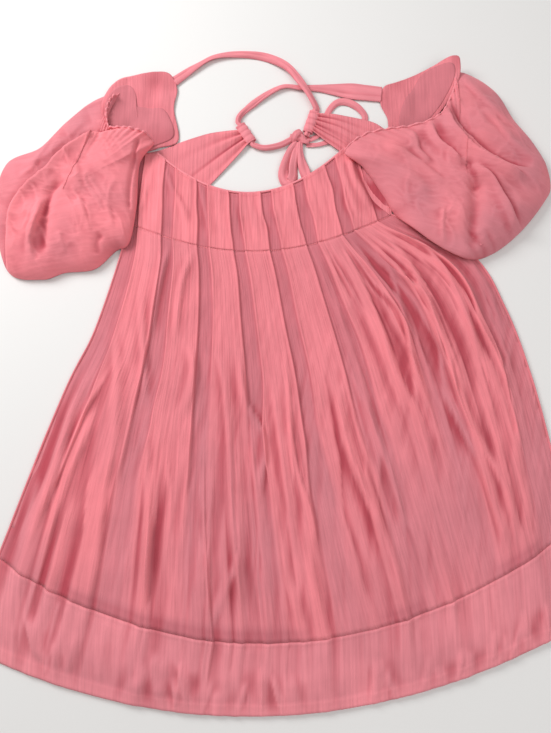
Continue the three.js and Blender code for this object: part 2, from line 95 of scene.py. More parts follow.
# Pleats: flat doubled bands with narrow single strips between them
PLEATS = 7
FIRST_PLEAT, PLEAT_STEP, PLEAT_WIDTH = 0.0945, 0.134, 0.092
PLEAT_CENTRES = FIRST_PLEAT + PLEAT_STEP * np.arange(PLEATS)
PLEAT_EDGES = np.sort(np.concatenate([PLEAT_CENTRES - PLEAT_WIDTH / 2, PLEAT_CENTRES + PLEAT_WIDTH / 2]))

# Heights of the cloth above the table
BACK_Z, EDGE_Z, FRONT_Z = 0.8, 3.6, 11.6
TIE_Z, CASING_Z = 2.8, 4.9
LINING_GAP, BODICE_LINING_GAP, BACK_LINING_GAP = 1.7, 1.6, 1.1

# Drawn thickness of the cloth, and the pieces' lengths along the thread
SHELL, LINING, BAND, FACING = 0.7, 0.5, 0.9, 0.6
BODICE_LENGTH, SKIRT_LENGTH, SKIRT_BREADTH, BAND_LENGTH = 110.0, 503.0, 640.0, 118.0
FLAT_BODICE, FLAT_SKIRT, FLAT_INNER_SKIRT, FLAT_BAND = 0.125, 0.6, 0.5, 0.118

# The lamps, the camera and the floor
FLOOR_HALF = 12.0
LAMPS = {"key": {"share": 1.0, "size": 0.8, "place": (-1.25, 1.0, 1.15)},
         "fill": {"share": 0.52, "size": 1.8, "place": (1.0, -0.5, 1.9)}}
SKY_LIGHT = 0.42
CAMERA_PLACE, CAMERA_TILT, LENS, FILM_WIDTH = (26.0, -332.0, 810.0), 10.75, 27.06, 36.0

LEFT_NECK = [(-167, 180), (-202, 197), (-236, 203), (-246, 228), (-244, 254), (-231, 279)]
LEFT_REST = [
    (-271, 265), (-316, 224), (-353, 180), (-405, 151), (-416, 75), (-388, -28), (-335, -43),
    (-298, -32), (-253, -26), (-222, 3), (-200, 14), (-191, 71), (-189, 147),
]
RIGHT_NECK = [(135, 163), (167, 189), (199, 198), (247, 206), (287, 224), (306, 256), (317, 287), (317, 316)]
RIGHT_REST = [
    (349, 308), (387, 277), (414, 224), (438, 189), (457, 149), (462, 110), (451, 86), (415, 41),
    (373, 5), (334, -12), (304, -10), (261, 16), (217, 58), (195, 95), (166, 137),
]


# ---- numbers and curves ----

def smoothstep(x):
    """A smooth rise from 0 to 1: three x squared less two x cubed, with x held between 0 and 1."""
    x = np.clip(x, 0.0, 1.0)
    return x * x * (3 - 2 * x)


def bell(gap, reach):
    """A bell curve: one at no gap, and e to the minus one at a gap as large as the reach."""
    return np.exp(-((gap / reach) ** 2))


def between(a, b, share):
    """The value at a share of the way from a to b."""
    return a + (b - a) * share


def noise(x, y, seed):
    """Smooth values from -1 to 1: random numbers at whole x and y, joined by smooth steps."""
    size = 64
    table = np.random.default_rng(seed).uniform(-1, 1, (size, size))
    x, y = np.broadcast_arrays(np.asarray(x, float), np.asarray(y, float))
    i, j = np.floor(x).astype(int), np.floor(y).astype(int)
    u, v = smoothstep(x - i), smoothstep(y - j)
    low = between(table[i % size, j % size], table[(i + 1) % size, j % size], u)
    high = between(table[i % size, (j + 1) % size], table[(i + 1) % size, (j + 1) % size], u)
    return between(low, high, v)


def spread(line, count):
    """Points at equal distances along a line of points."""
    steps = np.linalg.norm(np.diff(line, axis=0), axis=1)
    run = np.concatenate([[0], np.cumsum(steps)])
    wanted = np.linspace(0, run[-1], count)
    return np.stack([np.interp(wanted, run, axis) for axis in line.T], axis=1)


def spline(points, count, closed=False):
    """Equally spaced points on a Catmull-Rom curve: each stretch is the cubic set by its four nearest points."""
    p = np.asarray(points, float)
    if closed:
        ends = np.vstack([p[-1], p, p[0], p[1]])
        stretches = len(p)
    else:
        ends = np.vstack([2 * p[0] - p[1], p, 2 * p[-1] - p[-2]])
        stretches = len(p) - 1
    u = np.linspace(0, stretches, 30 * stretches + 1)
    i = np.minimum(u.astype(int), stretches - 1)
    t = (u - i)[:, None]
    a, b, c, d = ends[i], ends[i + 1], ends[i + 2], ends[i + 3]
    line = 0.5 * (2 * b + (c - a) * t + (2 * a - 5 * b + 4 * c - d) * t**2 + (3 * b - a - 3 * c + d) * t**3)
    return spread(line, count)


def tangents(line):
    """The direction of a line at each of its points."""
    run = np.gradient(line, axis=0)
    return run / np.linalg.norm(run, axis=1, keepdims=True)


def off_path(x, y, path, count=60):
    """For each point, its distance to the left of a path, and its share of the way along it."""
    line = spline(path, count)
    along = tangents(line)
    flat = np.stack([np.ravel(x), np.ravel(y)], axis=1)
    gaps = ((flat[:, None, :] - line[None]) ** 2).sum(axis=2)
    nearest = gaps.argmin(axis=1)
    rest = flat - line[nearest]
    run = along[nearest]
    side = run[:, 0] * rest[:, 1] - run[:, 1] * rest[:, 0]
    ahead = (rest * run).sum(axis=1) / np.linalg.norm(line[1] - line[0])
    share = (nearest + ahead) / (count - 1)
    return side.reshape(np.shape(x)), share.reshape(np.shape(x))


def crease(x, y, path, height, left, right, ends=0.2):
    """One fold: a bell curve of the distance from its path, as wide on each side as given, that dies away
    over a share of the path at both ends."""
    side, share = off_path(x, y, path)
    reach = np.where(side > 0, left, right)
    fade = smoothstep(share / ends) * smoothstep((1 - share) / ends)
    return height * bell(side, reach) * fade


def creases(x, y, folds):
    """The sum of many folds, each given as crease takes it."""
    return sum(crease(x, y, *fold) for fold in folds)


def step_up(x, y, path, reach):
    """A smooth rise from 0 on the right of a path to 1 on its left."""
    side, _ = off_path(x, y, path)
    return smoothstep(side / reach + 0.5)


def ribs(share, count, seed):
    """Uneven gathers: a cosine whose phase and height wander."""
    phase = count * share + 0.7 * noise(share * count * 0.5, 0.5, seed)
    return np.cos(2 * np.pi * phase) * (0.75 + 0.25 * noise(share * count * 0.4, 3.5, seed))


# ---- meshes ----

def to_frame(points):
    """Dressmaker's millimetres to metres in the CAD frame."""
    placed = np.array(points, float)
    placed[..., 0] += ORIGIN[0]
    placed[..., 1] += ORIGIN[1]
    return placed * MM


def make_piece(name, points, faces, material, uv, ply=0.5, painted_shade=0.0, up=True):
    """An object from points in millimetres. Its ply says how doubled the cloth is, and its second value how much
    painted shade darkens it in a fold.
    """
    mesh = bpy.data.meshes.new(name)
    flat = to_frame(points).reshape(-1, 3)
    mesh.from_pydata(flat, [], faced(points, faces, up))
    mesh.polygons.foreach_set("use_smooth", np.ones(len(mesh.polygons), bool))
    layer = mesh.uv_layers.new(name="cloth")
    corners = np.zeros(len(mesh.loops), np.int32)
    mesh.loops.foreach_get("vertex_index", corners)
    layer.data.foreach_set("uv", (np.asarray(uv, float).reshape(-1, 2)[corners] * MM).ravel())
    for key, value in (("ply", ply), ("painted_shade", painted_shade)):
        filled = np.broadcast_to(np.asarray(value, float).reshape(-1), (len(flat),))
        mesh.attributes.new(key, "FLOAT", "POINT").data.foreach_set("value", filled.astype(np.float32))
    mesh.materials.append(material)
    mesh.update()
    piece = bpy.data.objects.new(name, mesh)
    bpy.context.scene.collection.objects.link(piece)
    return piece


def faced(points, faces, up):
    """The faces, all turned round if they face down (for a sheet) or into their middle (for a tube)."""
    flat = np.asarray(points, float).reshape(-1, 3)
    a, b, c = (flat[[face[k] for face in faces]] - flat.mean(axis=0) for k in range(3))
    normal = np.cross(b - a, c - a)
    facing = normal[:, 2].sum() if up else (normal * a).sum()
    return faces if facing > 0 else [face[::-1] for face in faces]


def grid_faces(rows, columns, around=False, start=0):
    """Quads of a grid of points, wound so that rows running down and columns running right face up."""
    index = start + np.arange(rows * columns).reshape(rows, columns)
    if around:
        index = np.hstack([index, index[:, :1]])
    quads = np.stack([index[1:, :-1], index[1:, 1:], index[:-1, 1:], index[:-1, :-1]], axis=2)
    return quads.reshape(-1, 4).tolist()


def wall(piece, thickness, offset=-1.0):
    """Gives a sheet its thickness in millimetres."""
    solid = piece.modifiers.new("cloth_thickness", "SOLIDIFY")
    solid.thickness = thickness * MM
    solid.offset = offset
    solid.use_even_offset = False


def dips(z, reach, depth, axis=1):
    """How far each point of a grid lies below the mean of its neighbours along one axis, from 0 to 1; used to paint
    shade into hollows.
    """
    padded = np.pad(z, [(reach, reach) if k == axis else (0, 0) for k in range(z.ndim)], mode="edge")
    mean = np.lib.stride_tricks.sliding_window_view(padded, 2 * reach + 1, axis=axis).mean(axis=-1)
    return np.clip((mean - z) / depth, 0, 1)


def measured_area(piece):
    """Area of a sheet before its thickness, in square metres."""
    areas = np.zeros(len(piece.data.polygons))
    piece.data.polygons.foreach_get("area", areas)
    return areas.sum()


def finish_cloth(piece, slot, nodes, body="dress", held="laid", rests_on=(), flat=None, tube=False, seams=()):
    """Hides the CAD parts that a piece of cloth stands for and ties it to the body it moves with; how large it was cut
    and which seams are on it are not used.
    """
    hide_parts(*nodes)
    if body:
        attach(piece, body)
    area = measured_area(piece) / (2 if tube else 1)
    return piece


def lay_cloth(name, nodes, x, y, z, look, thickness, flat, uv=None, ply=0.5, painted_shade=0.0, slot="gauze", **said):
    """A grid of cloth with its thickness and what it stands for. Its thread runs in plan unless uv is given."""
    points = np.stack([x, y, z], axis=2)
    uv = points[..., :2] if uv is None else uv
    piece = make_piece(name, points, grid_faces(*z.shape), cloth(look), uv, ply, painted_shade)
    wall(piece, thickness)
    return finish_cloth(piece, slot, nodes, flat=flat, **said)


def finish_seam(piece, *nodes):
    """Hides the CAD parts of the seams that a narrow sewn edge stands for, and ties it to the dress."""
    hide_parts(*nodes)
    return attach(piece, "dress")


def strap_points(line, width, height, sides=16, twist=0.0, furrow=0.0):
    """A flat strap's section carried along a line: an oval of the given width and height, furrowed by the
    cosine of five times its angle and by noise, and turned by the twist."""
    line = np.asarray(line, float)
    count = len(line)
    along = tangents(line)
    side = np.cross(along, [0, 0, 1])
    side /= np.linalg.norm(side, axis=1, keepdims=True)
    up = np.cross(side, along)
    angle = np.linspace(0, 2 * np.pi, sides, endpoint=False)[None]
    width, height, twist = (np.broadcast_to(np.asarray(v, float), (count,))[:, None] for v in (width, height, twist))
    across = width / 2 * np.cos(angle)
    wrinkle = noise(angle * 1.6, np.arange(count)[:, None] * 0.06, 107)
    rise = height / 2 * np.sin(angle) * (1 + furrow * (np.cos(5 * angle) + 0.8 * wrinkle))
    u = across * np.cos(twist) - rise * np.sin(twist)
    v = across * np.sin(twist) + rise * np.cos(twist)
    return line[:, None] + side[:, None] * u[..., None] + up[:, None] * v[..., None]


def capped(rings, start=0):
    """A tube's points and faces, with each end drawn to its middle."""
    count, sides = rings.shape[:2]
    points = np.concatenate([rings.reshape(-1, 3), rings[[0, -1]].mean(axis=1)])
    faces = grid_faces(count, sides, around=True, start=start)
    hub, last = start + count * sides, start + (count - 1) * sides
    for k in range(sides):
        after = (k + 1) % sides
        faces += [[hub, start + k, start + after], [hub + 1, last + after, last + k]]
    return points, faces


def strap_piece(name, line, width, height, material, sides=16, twist=0.0, furrow=0.0, ply=0.7):
    """A closed strap that stays above the table."""
    rings = strap_points(line, width, height, sides, twist, furrow)
    rings[..., 2] = np.maximum(rings[..., 2], 0.2)
    points, faces = capped(rings)
    run = np.concatenate([[0], np.cumsum(np.linalg.norm(np.diff(line, axis=0), axis=1))])
    angle = np.linspace(0, 1, sides, endpoint=False)
    uv = np.stack(np.broadcast_arrays(angle[None] * 2 * np.max(width), run[:, None]), axis=2).reshape(-1, 2)
    uv = np.concatenate([uv, uv[[0, -1]]])
    # painted shade where the section's surface lies lower than its neighbours: its underside and its furrows
    painted_shade = np.concatenate([dips(rings[..., 2], 2, 1.5).ravel(), [0, 0]])
    return make_piece(name, points, faces, material, uv, ply, painted_shade, up=False)


def lay_strap(name, node, line, width, height, flat, body="dress", sides=18, **shape):
    """A sewn strap of doubled cloth that stands for one node; its flat length in metres is not used."""
    piece = strap_piece(name, line, width, height, cloth("double_gauze"), sides=sides, **shape)
    return finish_cloth(piece, "band", [node], body=body, held="gathered", flat=flat, tube=True)


def stitch_piece(name, lines, material, step=3.4, length=2.3, thick=0.55):
    """Rows of stitches: one small six-sided spindle repeated at equal steps along each line."""
    angle = np.linspace(0, 2 * np.pi, 6, endpoint=False)
    ring = np.stack([np.zeros(6), np.cos(angle) * thick / 2, np.sin(angle) * thick / 2], axis=1)
    near, far = ring + [-length / 4, 0, 0], ring + [length / 4, 0, 0]
    spindle = np.vstack([near, far, [-length / 2, 0, 0], [length / 2, 0, 0]])
    around = [[k, (k + 1) % 6] for k in range(6)]
    pattern = [[a, b, b + 6, a + 6] for a, b in around]
    pattern += [[12, b, a] for a, b in around] + [[13, a + 6, b + 6] for a, b in around]
    points, faces = [], []
    for line in lines:
        line = np.asarray(line, float)
        run = np.linalg.norm(np.diff(line, axis=0), axis=1).sum()
        centres = spread(line, max(2, int(run / step)))
        along = tangents(centres)
        side = np.cross(along, [0, 0, 1])
        side /= np.linalg.norm(side, axis=1, keepdims=True)
        up = np.cross(side, along)
        basis = np.stack([along, side, up], axis=1)
        start = sum(len(block) for block in points)
        block = (centres[:, None] + np.einsum("vk,nkj->nvj", spindle, basis)).reshape(-1, 3)
        points.append(block)
        offsets = start + len(spindle) * np.arange(len(centres))
        faces += [[f + offset for f in face] for offset in offsets for face in pattern]
    points = np.concatenate(points)
    piece = make_piece(name, points, faces, material, points[:, :2], 1.0, 0.0)
    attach(piece, "dress")
    return piece


# ---- the body's pattern ----

def side_line(ends_top, ends_bottom, flare, share):
    """A side of the skirt: from its top to its bottom by equal lengths, flared as its table of shares says."""
    out, down = spline(flare, 200).T
    x = between(ends_top[0], ends_bottom[0], out)
    y = between(ends_top[1], ends_bottom[1], down)
    line = spread(np.stack([x, y], axis=1), 200)
    spots = np.linspace(0, 1, 200)
    return np.stack([np.interp(share, spots, line[:, 0]), np.interp(share, spots, line[:, 1])], axis=-1)


def fanned(across, down):
    """The pleats' lean: a share across, moved by a sine that grows down the skirt."""
    return across + FAN * down * np.sin(np.pi * across**0.7)


def skirt_plan(across, down):
    """Plan points of the skirt: straight between its two sides, and hung in a parabola. The right side's
    bulge is felt only in the right-hand part of the skirt."""
    left = side_line(UNDERBUST_ENDS[0], BAND_ENDS[0], LEFT_FLARE, down)
    bulged = side_line(UNDERBUST_ENDS[1], BAND_ENDS[1], RIGHT_FLARE, down)
    plain = between(UNDERBUST_ENDS[1], BAND_ENDS[1], down[..., None])
    share = fanned(across, down)
    right = between(plain, bulged, smoothstep((share - 0.62) / 0.38)[..., None])
    x = between(left[..., 0], right[..., 0], share)
    sag = between(UNDERBUST_DROP, BAND_SEAM_DROP, down) * 4 * share * (1 - share)
    return x, between(left[..., 1], right[..., 1], share) - sag


def band_plan(across, down):
    """Plan points of the hem band, in the same way."""
    share = fanned(across, np.ones_like(down))
    left, right = (between(BAND_ENDS[k][:, None, None], HEM_ENDS[k][:, None, None], down) for k in (0, 1))
    sag = between(BAND_SEAM_DROP, HEM_DROP, down) * 4 * share * (1 - share)
    return between(left[0], right[0], share), between(left[1], right[1], share) - sag


def neckline_y(x):
    """The scoop: a parabola hung between the neckline's corners."""
    share = np.clip((x - NECK_ENDS[0, 0]) / (NECK_ENDS[1, 0] - NECK_ENDS[0, 0]), 0, 1)
    return between(NECK_ENDS[0, 1], NECK_ENDS[1, 1], share) - 4 * NECK_DEPTH * share * (1 - share)


def bodice_plan(across, up):
    """Plan points of the bodice: straight lines from the underbust seam up to the neckline."""
    low_x, low_y = skirt_plan(across, np.zeros_like(across))
    high_x = between(SHOULDER_ENDS[0, 0], SHOULDER_ENDS[1, 0], across)
    return between(low_x, high_x, up), between(low_y, neckline_y(high_x), up)


def pleat_edges(across, down):
    """The pleats' edges, which wander a little as they run down: shares across, one plane for each edge."""
    wander = np.stack([0.012 * down * noise(6 * down, k, 11) for k in range(len(PLEAT_EDGES))])
    return PLEAT_EDGES[:, None, None] + wander - across


def pleats(across, down, width):
    """Pleats as a share of their rise: 1 on the doubled bands and 0 between them, each with a raised lip at
    its edges and a faint crease at each third. They let go of the cloth one after another as they run down."""
    edges = pleat_edges(across, down) * width
    release = 0.56 + 0.22 * np.sin(2.3 * np.arange(PLEATS) + 0.4)
    band, lip = np.zeros_like(across), np.zeros_like(across)
    for k in range(PLEATS):
        soft = 1.1 + 20 * smoothstep((down - release[k] * 0.7) / 0.8)
        left, right = edges[2 * k], edges[2 * k + 1]
        held = 1 - 0.75 * smoothstep((down - release[k]) / 0.5)
        band += held * smoothstep(0.5 - left / (2 * soft)) * smoothstep(0.5 + right / (2 * soft))
        third = PLEAT_WIDTH * width / 3
        lip += held * (bell(left + 1.5, 2.2) + bell(right - 1.5, 2.2)) / soft
        lip -= 0.4 * held * (bell(left + third, 1.3) + bell(right - third, 1.3)) / soft
    return band, lip


def soft_folds(across, down, width):
    """Long soft folds: each is a bell curve about a wandering line down the skirt, steeper on one side."""
    rng = np.random.default_rng(5)
    height = np.zeros_like(across)
    left_share = 0.5
    count = 78
    for k in range(count):
        right_hand = k > count * left_share
        middle = rng.uniform(0.7, 0.985) if right_hand else rng.uniform(0.02, 0.75)
        start = rng.uniform(-0.3, 0.12) if right_hand else rng.uniform(0.2, 0.75)
        length = rng.uniform(0.5, 1.1)
        reach = rng.uniform(2.5, 7) if right_hand else rng.uniform(3.5, 12)
        rise = rng.uniform(1.6, 4.8) * (1 if rng.random() < 0.8 else -0.5)
        lean = rng.uniform(-0.03, 0.03)
        share = (down - start) / length
        line = middle + lean * share + 0.008 * noise(7 * down, k, 23)
        gap = (across - line) * width
        steep = np.where(gap > 0, 0.3, 1.5) if rng.random() < 0.5 else np.where(gap > 0, 1.5, 0.3)
        fade = smoothstep(share / 0.3) * smoothstep((1 - share) / 0.35)
        height += rise * fade * bell(gap, reach * steep * (0.5 + 0.7 * down))
    return height


def crinkle(across, down, width, length):
    """Fine crinkle: noise drawn out along the skirt."""
    fine = noise(across * width / 4.0, down * length / 45, 31)
    broad = noise(across * width / 10, down * length / 90, 37)
    return 0.3 * fine + 0.5 * broad


def body_rise(share, width):
    """The front's height above the table: low at the side seams and level inside them."""
    from_side = np.minimum(share, 1 - share) * width
    return EDGE_Z + (FRONT_Z - EDGE_Z) * smoothstep(from_side / 70)


def across_samples(count, crowding=5.0, tight=0.006):
    """Shares across a panel, crowded at the pleats' edges: equal steps of the summed density."""
    x = np.linspace(0, 1, 4001)
    density = 1 + crowding * sum(bell(x - edge, tight) for edge in PLEAT_EDGES)
    total = np.concatenate([[0], np.cumsum((density[1:] + density[:-1]) / 2)])
    return np.interp(np.linspace(0, 1, count), total / total[-1], x)


def panel_width(down):
    """The skirt's width at a share of its way down."""
    left = side_line(UNDERBUST_ENDS[0], BAND_ENDS[0], LEFT_FLARE, down)
    right = side_line(UNDERBUST_ENDS[1], BAND_ENDS[1], RIGHT_FLARE, down)
    return right[..., 0] - left[..., 0]


# ---- materials ----

def linear(colour):
    """A colour from 0 to 255 as the shader wants it."""
    share = np.asarray(colour, float) / 255
    return np.where(share <= 0.04045, share / 12.92, ((share + 0.055) / 1.055) ** 2.4)


def gauze_material(name, single, double, fold_shade, crinkle_depth, weave_depth, thread, streaks=0.085):
    """Crinkled cotton gauze: single and doubled cloth and the painted shade inside folds are mixed by the piece's own
    values, with slubs along the thread, a plain weave and a soft sheen."""
    material = bpy.data.materials.new(name)
    material.use_nodes = True
    nodes, links = material.node_tree.nodes, material.node_tree.links
    nodes.clear()

    def node(kind, inputs=None, **settings):
        made = nodes.new(kind)
        for key, value in settings.items():
            setattr(made, key, value)
        for key, value in (inputs or {}).items():
            if isinstance(value, bpy.types.NodeSocket):
                links.new(value, made.inputs[key])
            else:
                made.inputs[key].default_value = value
        return made

    def mix(kind, share, a, b):
        return node("ShaderNodeMix", {0: share, 6: a, 7: b}, data_type="RGBA", blend_type=kind).outputs[2]

    def tinted(colour, source, low, high):
        value = node("ShaderNodeMapRange", {"Value": source, "From Min": 0.3, "From Max": 0.7,
                                            "To Min": low, "To Max": high}).outputs["Result"]
        grey = node("ShaderNodeCombineColor", {channel: value for channel in ("Red", "Green", "Blue")})
        return mix("MULTIPLY", 1.0, colour, grey.outputs["Color"])

    def rgba(colour):
        return (*linear(colour), 1.0)

    uv = node("ShaderNodeUVMap", uv_map="cloth").outputs["UV"]
    ply, painted_shade = (node("ShaderNodeAttribute", attribute_name=key).outputs["Fac"] for key in ("ply", "painted_shade"))
    drawn = node("ShaderNodeMapping", {"Vector": uv, "Scale": (300, 13, 1)}).outputs["Vector"]
    slubs = node("ShaderNodeTexNoise", {"Vector": drawn, "Scale": 1.0, "Detail": 4.0}).outputs["Fac"]
    place = node("ShaderNodeTexCoord").outputs["Object"]
    patches = node("ShaderNodeTexNoise", {"Vector": place, "Scale": 22.0, "Detail": 3.0}).outputs["Fac"]
    wave = {"Vector": uv, "Scale": 2 * math.pi / (20 * thread * MM), "Distortion": 1.5, "Detail": 1.0}
    warp, weft = (node("ShaderNodeTexWave", wave, wave_type="BANDS", bands_direction=way).outputs["Fac"]
                  for way in ("X", "Y"))
    weave = node("ShaderNodeMath", {0: warp, 1: weft}, operation="MULTIPLY").outputs["Value"]

    colour = mix("MIX", ply, rgba(single), rgba(double))
    # painted shade: the colour is drawn towards the fold-shade colour where the cloth lies in a crease or hollow
    colour = mix("MIX", painted_shade, colour, rgba(fold_shade))
    colour = tinted(colour, patches, 0.94, 1.05)
    colour = tinted(colour, slubs, 1 - streaks, 1 + streaks)
    colour = mix("MULTIPLY", 0.12, colour, weave)

    shader = node("ShaderNodeBsdfPrincipled", {"Base Color": colour, "Roughness": 0.9, "Specular IOR Level": 0.18})
    shader.inputs["Sheen Weight"].default_value = 0.22
    shader.inputs["Sheen Roughness"].default_value = 0.45
    shader.inputs["Sheen Tint"].default_value = rgba((255, 205, 208))
    slubbed = node("ShaderNodeBump", {"Height": slubs, "Strength": 1.0, "Distance": crinkle_depth * MM})
    woven = node("ShaderNodeBump", {"Height": weave, "Strength": 0.7, "Distance": weave_depth * MM,
                                    "Normal": slubbed.outputs["Normal"]})
    links.new(woven.outputs["Normal"], shader.inputs["Normal"])
    node("ShaderNodeOutputMaterial", {"Surface": shader.outputs["BSDF"]})
    return material


def cloth(name):
    """One of the dress's materials."""
    return bpy.data.materials[name]


def add_materials(looks):
    """The gauze shell, the thin lining, the smoother hem band and the thread."""
    single, double, fold_shade = (np.array(c) * 255 for c in (looks.single, looks.double, looks.fold_shade))
    gauze_material("crinkled_gauze", single, double, fold_shade, 1.6, 0.15, 1.0)
    gauze_material("thin_lining", single * 0.93, double * 0.95, fold_shade, 0.3, 0.1, 0.8)
    pale = np.minimum(double * [1.0, 1.07, 1.07], 255)
    gauze_material("double_gauze", between(single, pale, 0.25), pale, fold_shade, 0.8, 0.12, 0.9)
    gauze_material("soft_gauze", single, double, fold_shade, 0.6, 0.15, 1.0, streaks=0.03)
    gauze_material("pink_thread", double, np.minimum(double * 1.1, 255), fold_shade, 0.1, 0.1, 0.5)


# ---- front and back panels ----

def above_lining(relief, deepest=-1.0):
    """The relief, with whatever lies deeper than the lining allows pressed to a fifth."""
    return np.where(relief < deepest, deepest + 0.2 * (relief - deepest), relief)


def add_front(sizes):
    """The front from the neckline to the hem."""
    add_front_bodice(sizes)
    columns, relief = add_front_skirt(sizes)
    add_front_band(columns, relief)


def add_front_bodice(sizes):
    """The pleated bodice and its lining: the body's height, plus pleats, slack noise and single creases."""
    across, up = np.meshgrid(across_samples(310), np.linspace(1, 0, 44))
    x, y = bodice_plan(across, up)
    wander = 0.007 * np.sin(np.pi * up) * noise(across * 22, up * 3, 13)
    band, lip = pleats(across + wander, np.zeros_like(across), CHEST)
    slack = 1.3 * noise(across * 26, up * 2.5, 3) * np.sin(np.pi * up)
    tuck = crinkle(across, up, CHEST, BODICE_LENGTH) * 0.8 + bodice_creases(x, y)
    lower_neck = 1 - 0.32 * smoothstep((up - 0.55) / 0.45)
    level = body_rise(across, CHEST) * lower_neck
    z = level + above_lining(sizes.pleat_rise / MM * band + 1.2 * lip + slack + tuck)
    ply = np.clip(0.12 + 0.8 * band + 0.12 * noise(across * 30, up * 4, 7), 0, 1)
    # painted shade in the hollows of the relief, in the strips between the pleat bands and in the hollow under the
    # right sleeve
    painted_shade = np.clip(dips(z - level, 4, 2.0) + 0.3 * (1 - band) + underarm_shade(x, y), 0, 1)
    lay_cloth("front_bodice_pleated", ["front_bodice"], x, y, z, "crinkled_gauze", SHELL, FLAT_BODICE,
              ply=ply, painted_shade=painted_shade, rests_on=["front_bodice_lining"],
              seams=["underbust_join", "neckline_edge", "armhole_join_left", "armhole_join_right"])
    inner = (grid[::3, ::5] for grid in (x, y, level - BODICE_LINING_GAP))
    lay_cloth("front_bodice_inside", ["front_bodice_lining"], *inner, "thin_lining", LINING, FLAT_BODICE,
              slot="lining")


def add_front_skirt(sizes):
    """The pleated skirt and its lining. Gives back the columns and the lowest row's relief for the hem band."""
    columns = across_samples(460)
    across, down = np.meshgrid(columns, np.linspace(0, 1, 90))
    width = panel_width(down)
    x, y = skirt_plan(across, down)
    band, lip = pleats(across, down, width)
    level = body_rise(fanned(across, down), width)
    edge = smoothstep(np.minimum(across, 1 - across) * width / 30)
    loose = smoothstep(down / 0.12)
    folds = soft_folds(across, down, width) * loose * edge * (sizes.fold_rise / 0.003)
    relief = sizes.pleat_rise / MM * band * between(1, 1.5, smoothstep(down / 0.4)) + 1.2 * lip
    relief += folds + drawn_folds(x, y)
    relief += crinkle(across, down, width, 500) * between(0.6, 1.5, smoothstep(down * 1.4))
    z = level + above_lining(relief - 0.5 * bell(down * SKIRT_LENGTH, 3))
    # ply: the doubled pleat bands and random tone, plus painted light from the soft folds' height, lighter on their
    # crests and darker in their hollows
    ply = 0.1 + 0.7 * band + 0.05 * folds + 0.2 * noise(across * 9, down * 5, 41)
    bare = smoothstep((down - 0.962) / 0.012) * smoothstep(0.5 + 2 * noise(across * 9, down * 2, 43))
    ply = np.clip(ply - 0.5 * bare, 0, 1)
    # painted shade in the single strips between the pleat bands, fading out down the skirt; below, painted shade in the
    # relief's hollows and extra darkening on the unlined strip above the band
    strip_shade = 0.28 * (1 - band) * (1 - smoothstep(down / 0.75))
    painted_shade = np.clip(dips(z - level, 6, 3.0) + strip_shade + 0.3 * bare, 0, 1)
    thread = np.stack([across * SKIRT_BREADTH, down * SKIRT_LENGTH], axis=2)
    lay_cloth("front_skirt_pleated", ["front_skirt"], x, y, z, "crinkled_gauze", SHELL, FLAT_SKIRT, thread, ply, painted_shade,
              rests_on=["front_skirt_lining"],
              seams=["back_waist_join", "side_join_left", "side_join_right", "body_stitches"])
    inner = (grid[::4, ::6] for grid in (x, y, level - LINING_GAP))
    lay_cloth("front_skirt_inside", ["front_skirt_lining"], *inner, "thin_lining", LINING, FLAT_INNER_SKIRT,
              slot="lining")
    return columns, z[-1] - level[-1]


def add_front_band(columns, relief_above):
    """The front hem band: smooth doubled cloth that carries on the folds above it and ends in a turned edge."""
    across, down = np.meshgrid(columns, np.linspace(0, 1, 40))
    x, y = band_plan(across, down)
    share = fanned(across, np.ones_like(down))
    width = HEM_ENDS[1, 0] - HEM_ENDS[0, 0]
    level = body_rise(share, width) * (1 - 0.5 * smoothstep((down - 0.45) / 0.55))
    carried = relief_above[None] * (1 - 0.85 * smoothstep(down / 0.8))
    own = smoothstep(down / 0.15) * (1 - 0.75 * smoothstep((down - 0.7) / 0.3))
    swell = 1.8 * noise(across * 13, down * 1.2, 51) + 0.5 * noise(across * 90, down * 1.6, 53)
    turned = 0.9 * smoothstep((down - 0.83) / 0.02)
    join = 0.9 * bell(down * BAND_LENGTH - 3, 2.2)
    z = level + above_lining(carried + (swell + band_creases(x, y)) * own + turned + join)
    z -= 1.5 * smoothstep((down - 0.97) / 0.03)
    patches = 0.35 * noise(across * 17, down * 1.3, 57) + 0.12 * noise(across * 50, down * 2, 59)
    ply = np.clip(0.5 + 0.4 * turned + patches + 0.3 * join, 0, 1)
    # painted shade in the hollows of the band's creases
    painted_shade = np.clip(0.7 * dips(z - level, 8, 2.4), 0, 1)
    lay_cloth("front_band_cloth", ["front_hem_band"], x, y, z, "double_gauze", BAND, FLAT_BAND,
              ply=ply, painted_shade=painted_shade, slot="band", rests_on=["front_hem_facing"])
    inner = (grid[::3, ::6] for grid in (x, y, level - LINING_GAP))
    lay_cloth("front_band_facing", ["front_hem_facing"], *inner, "double_gauze", FACING, FLAT_BAND, slot="band")


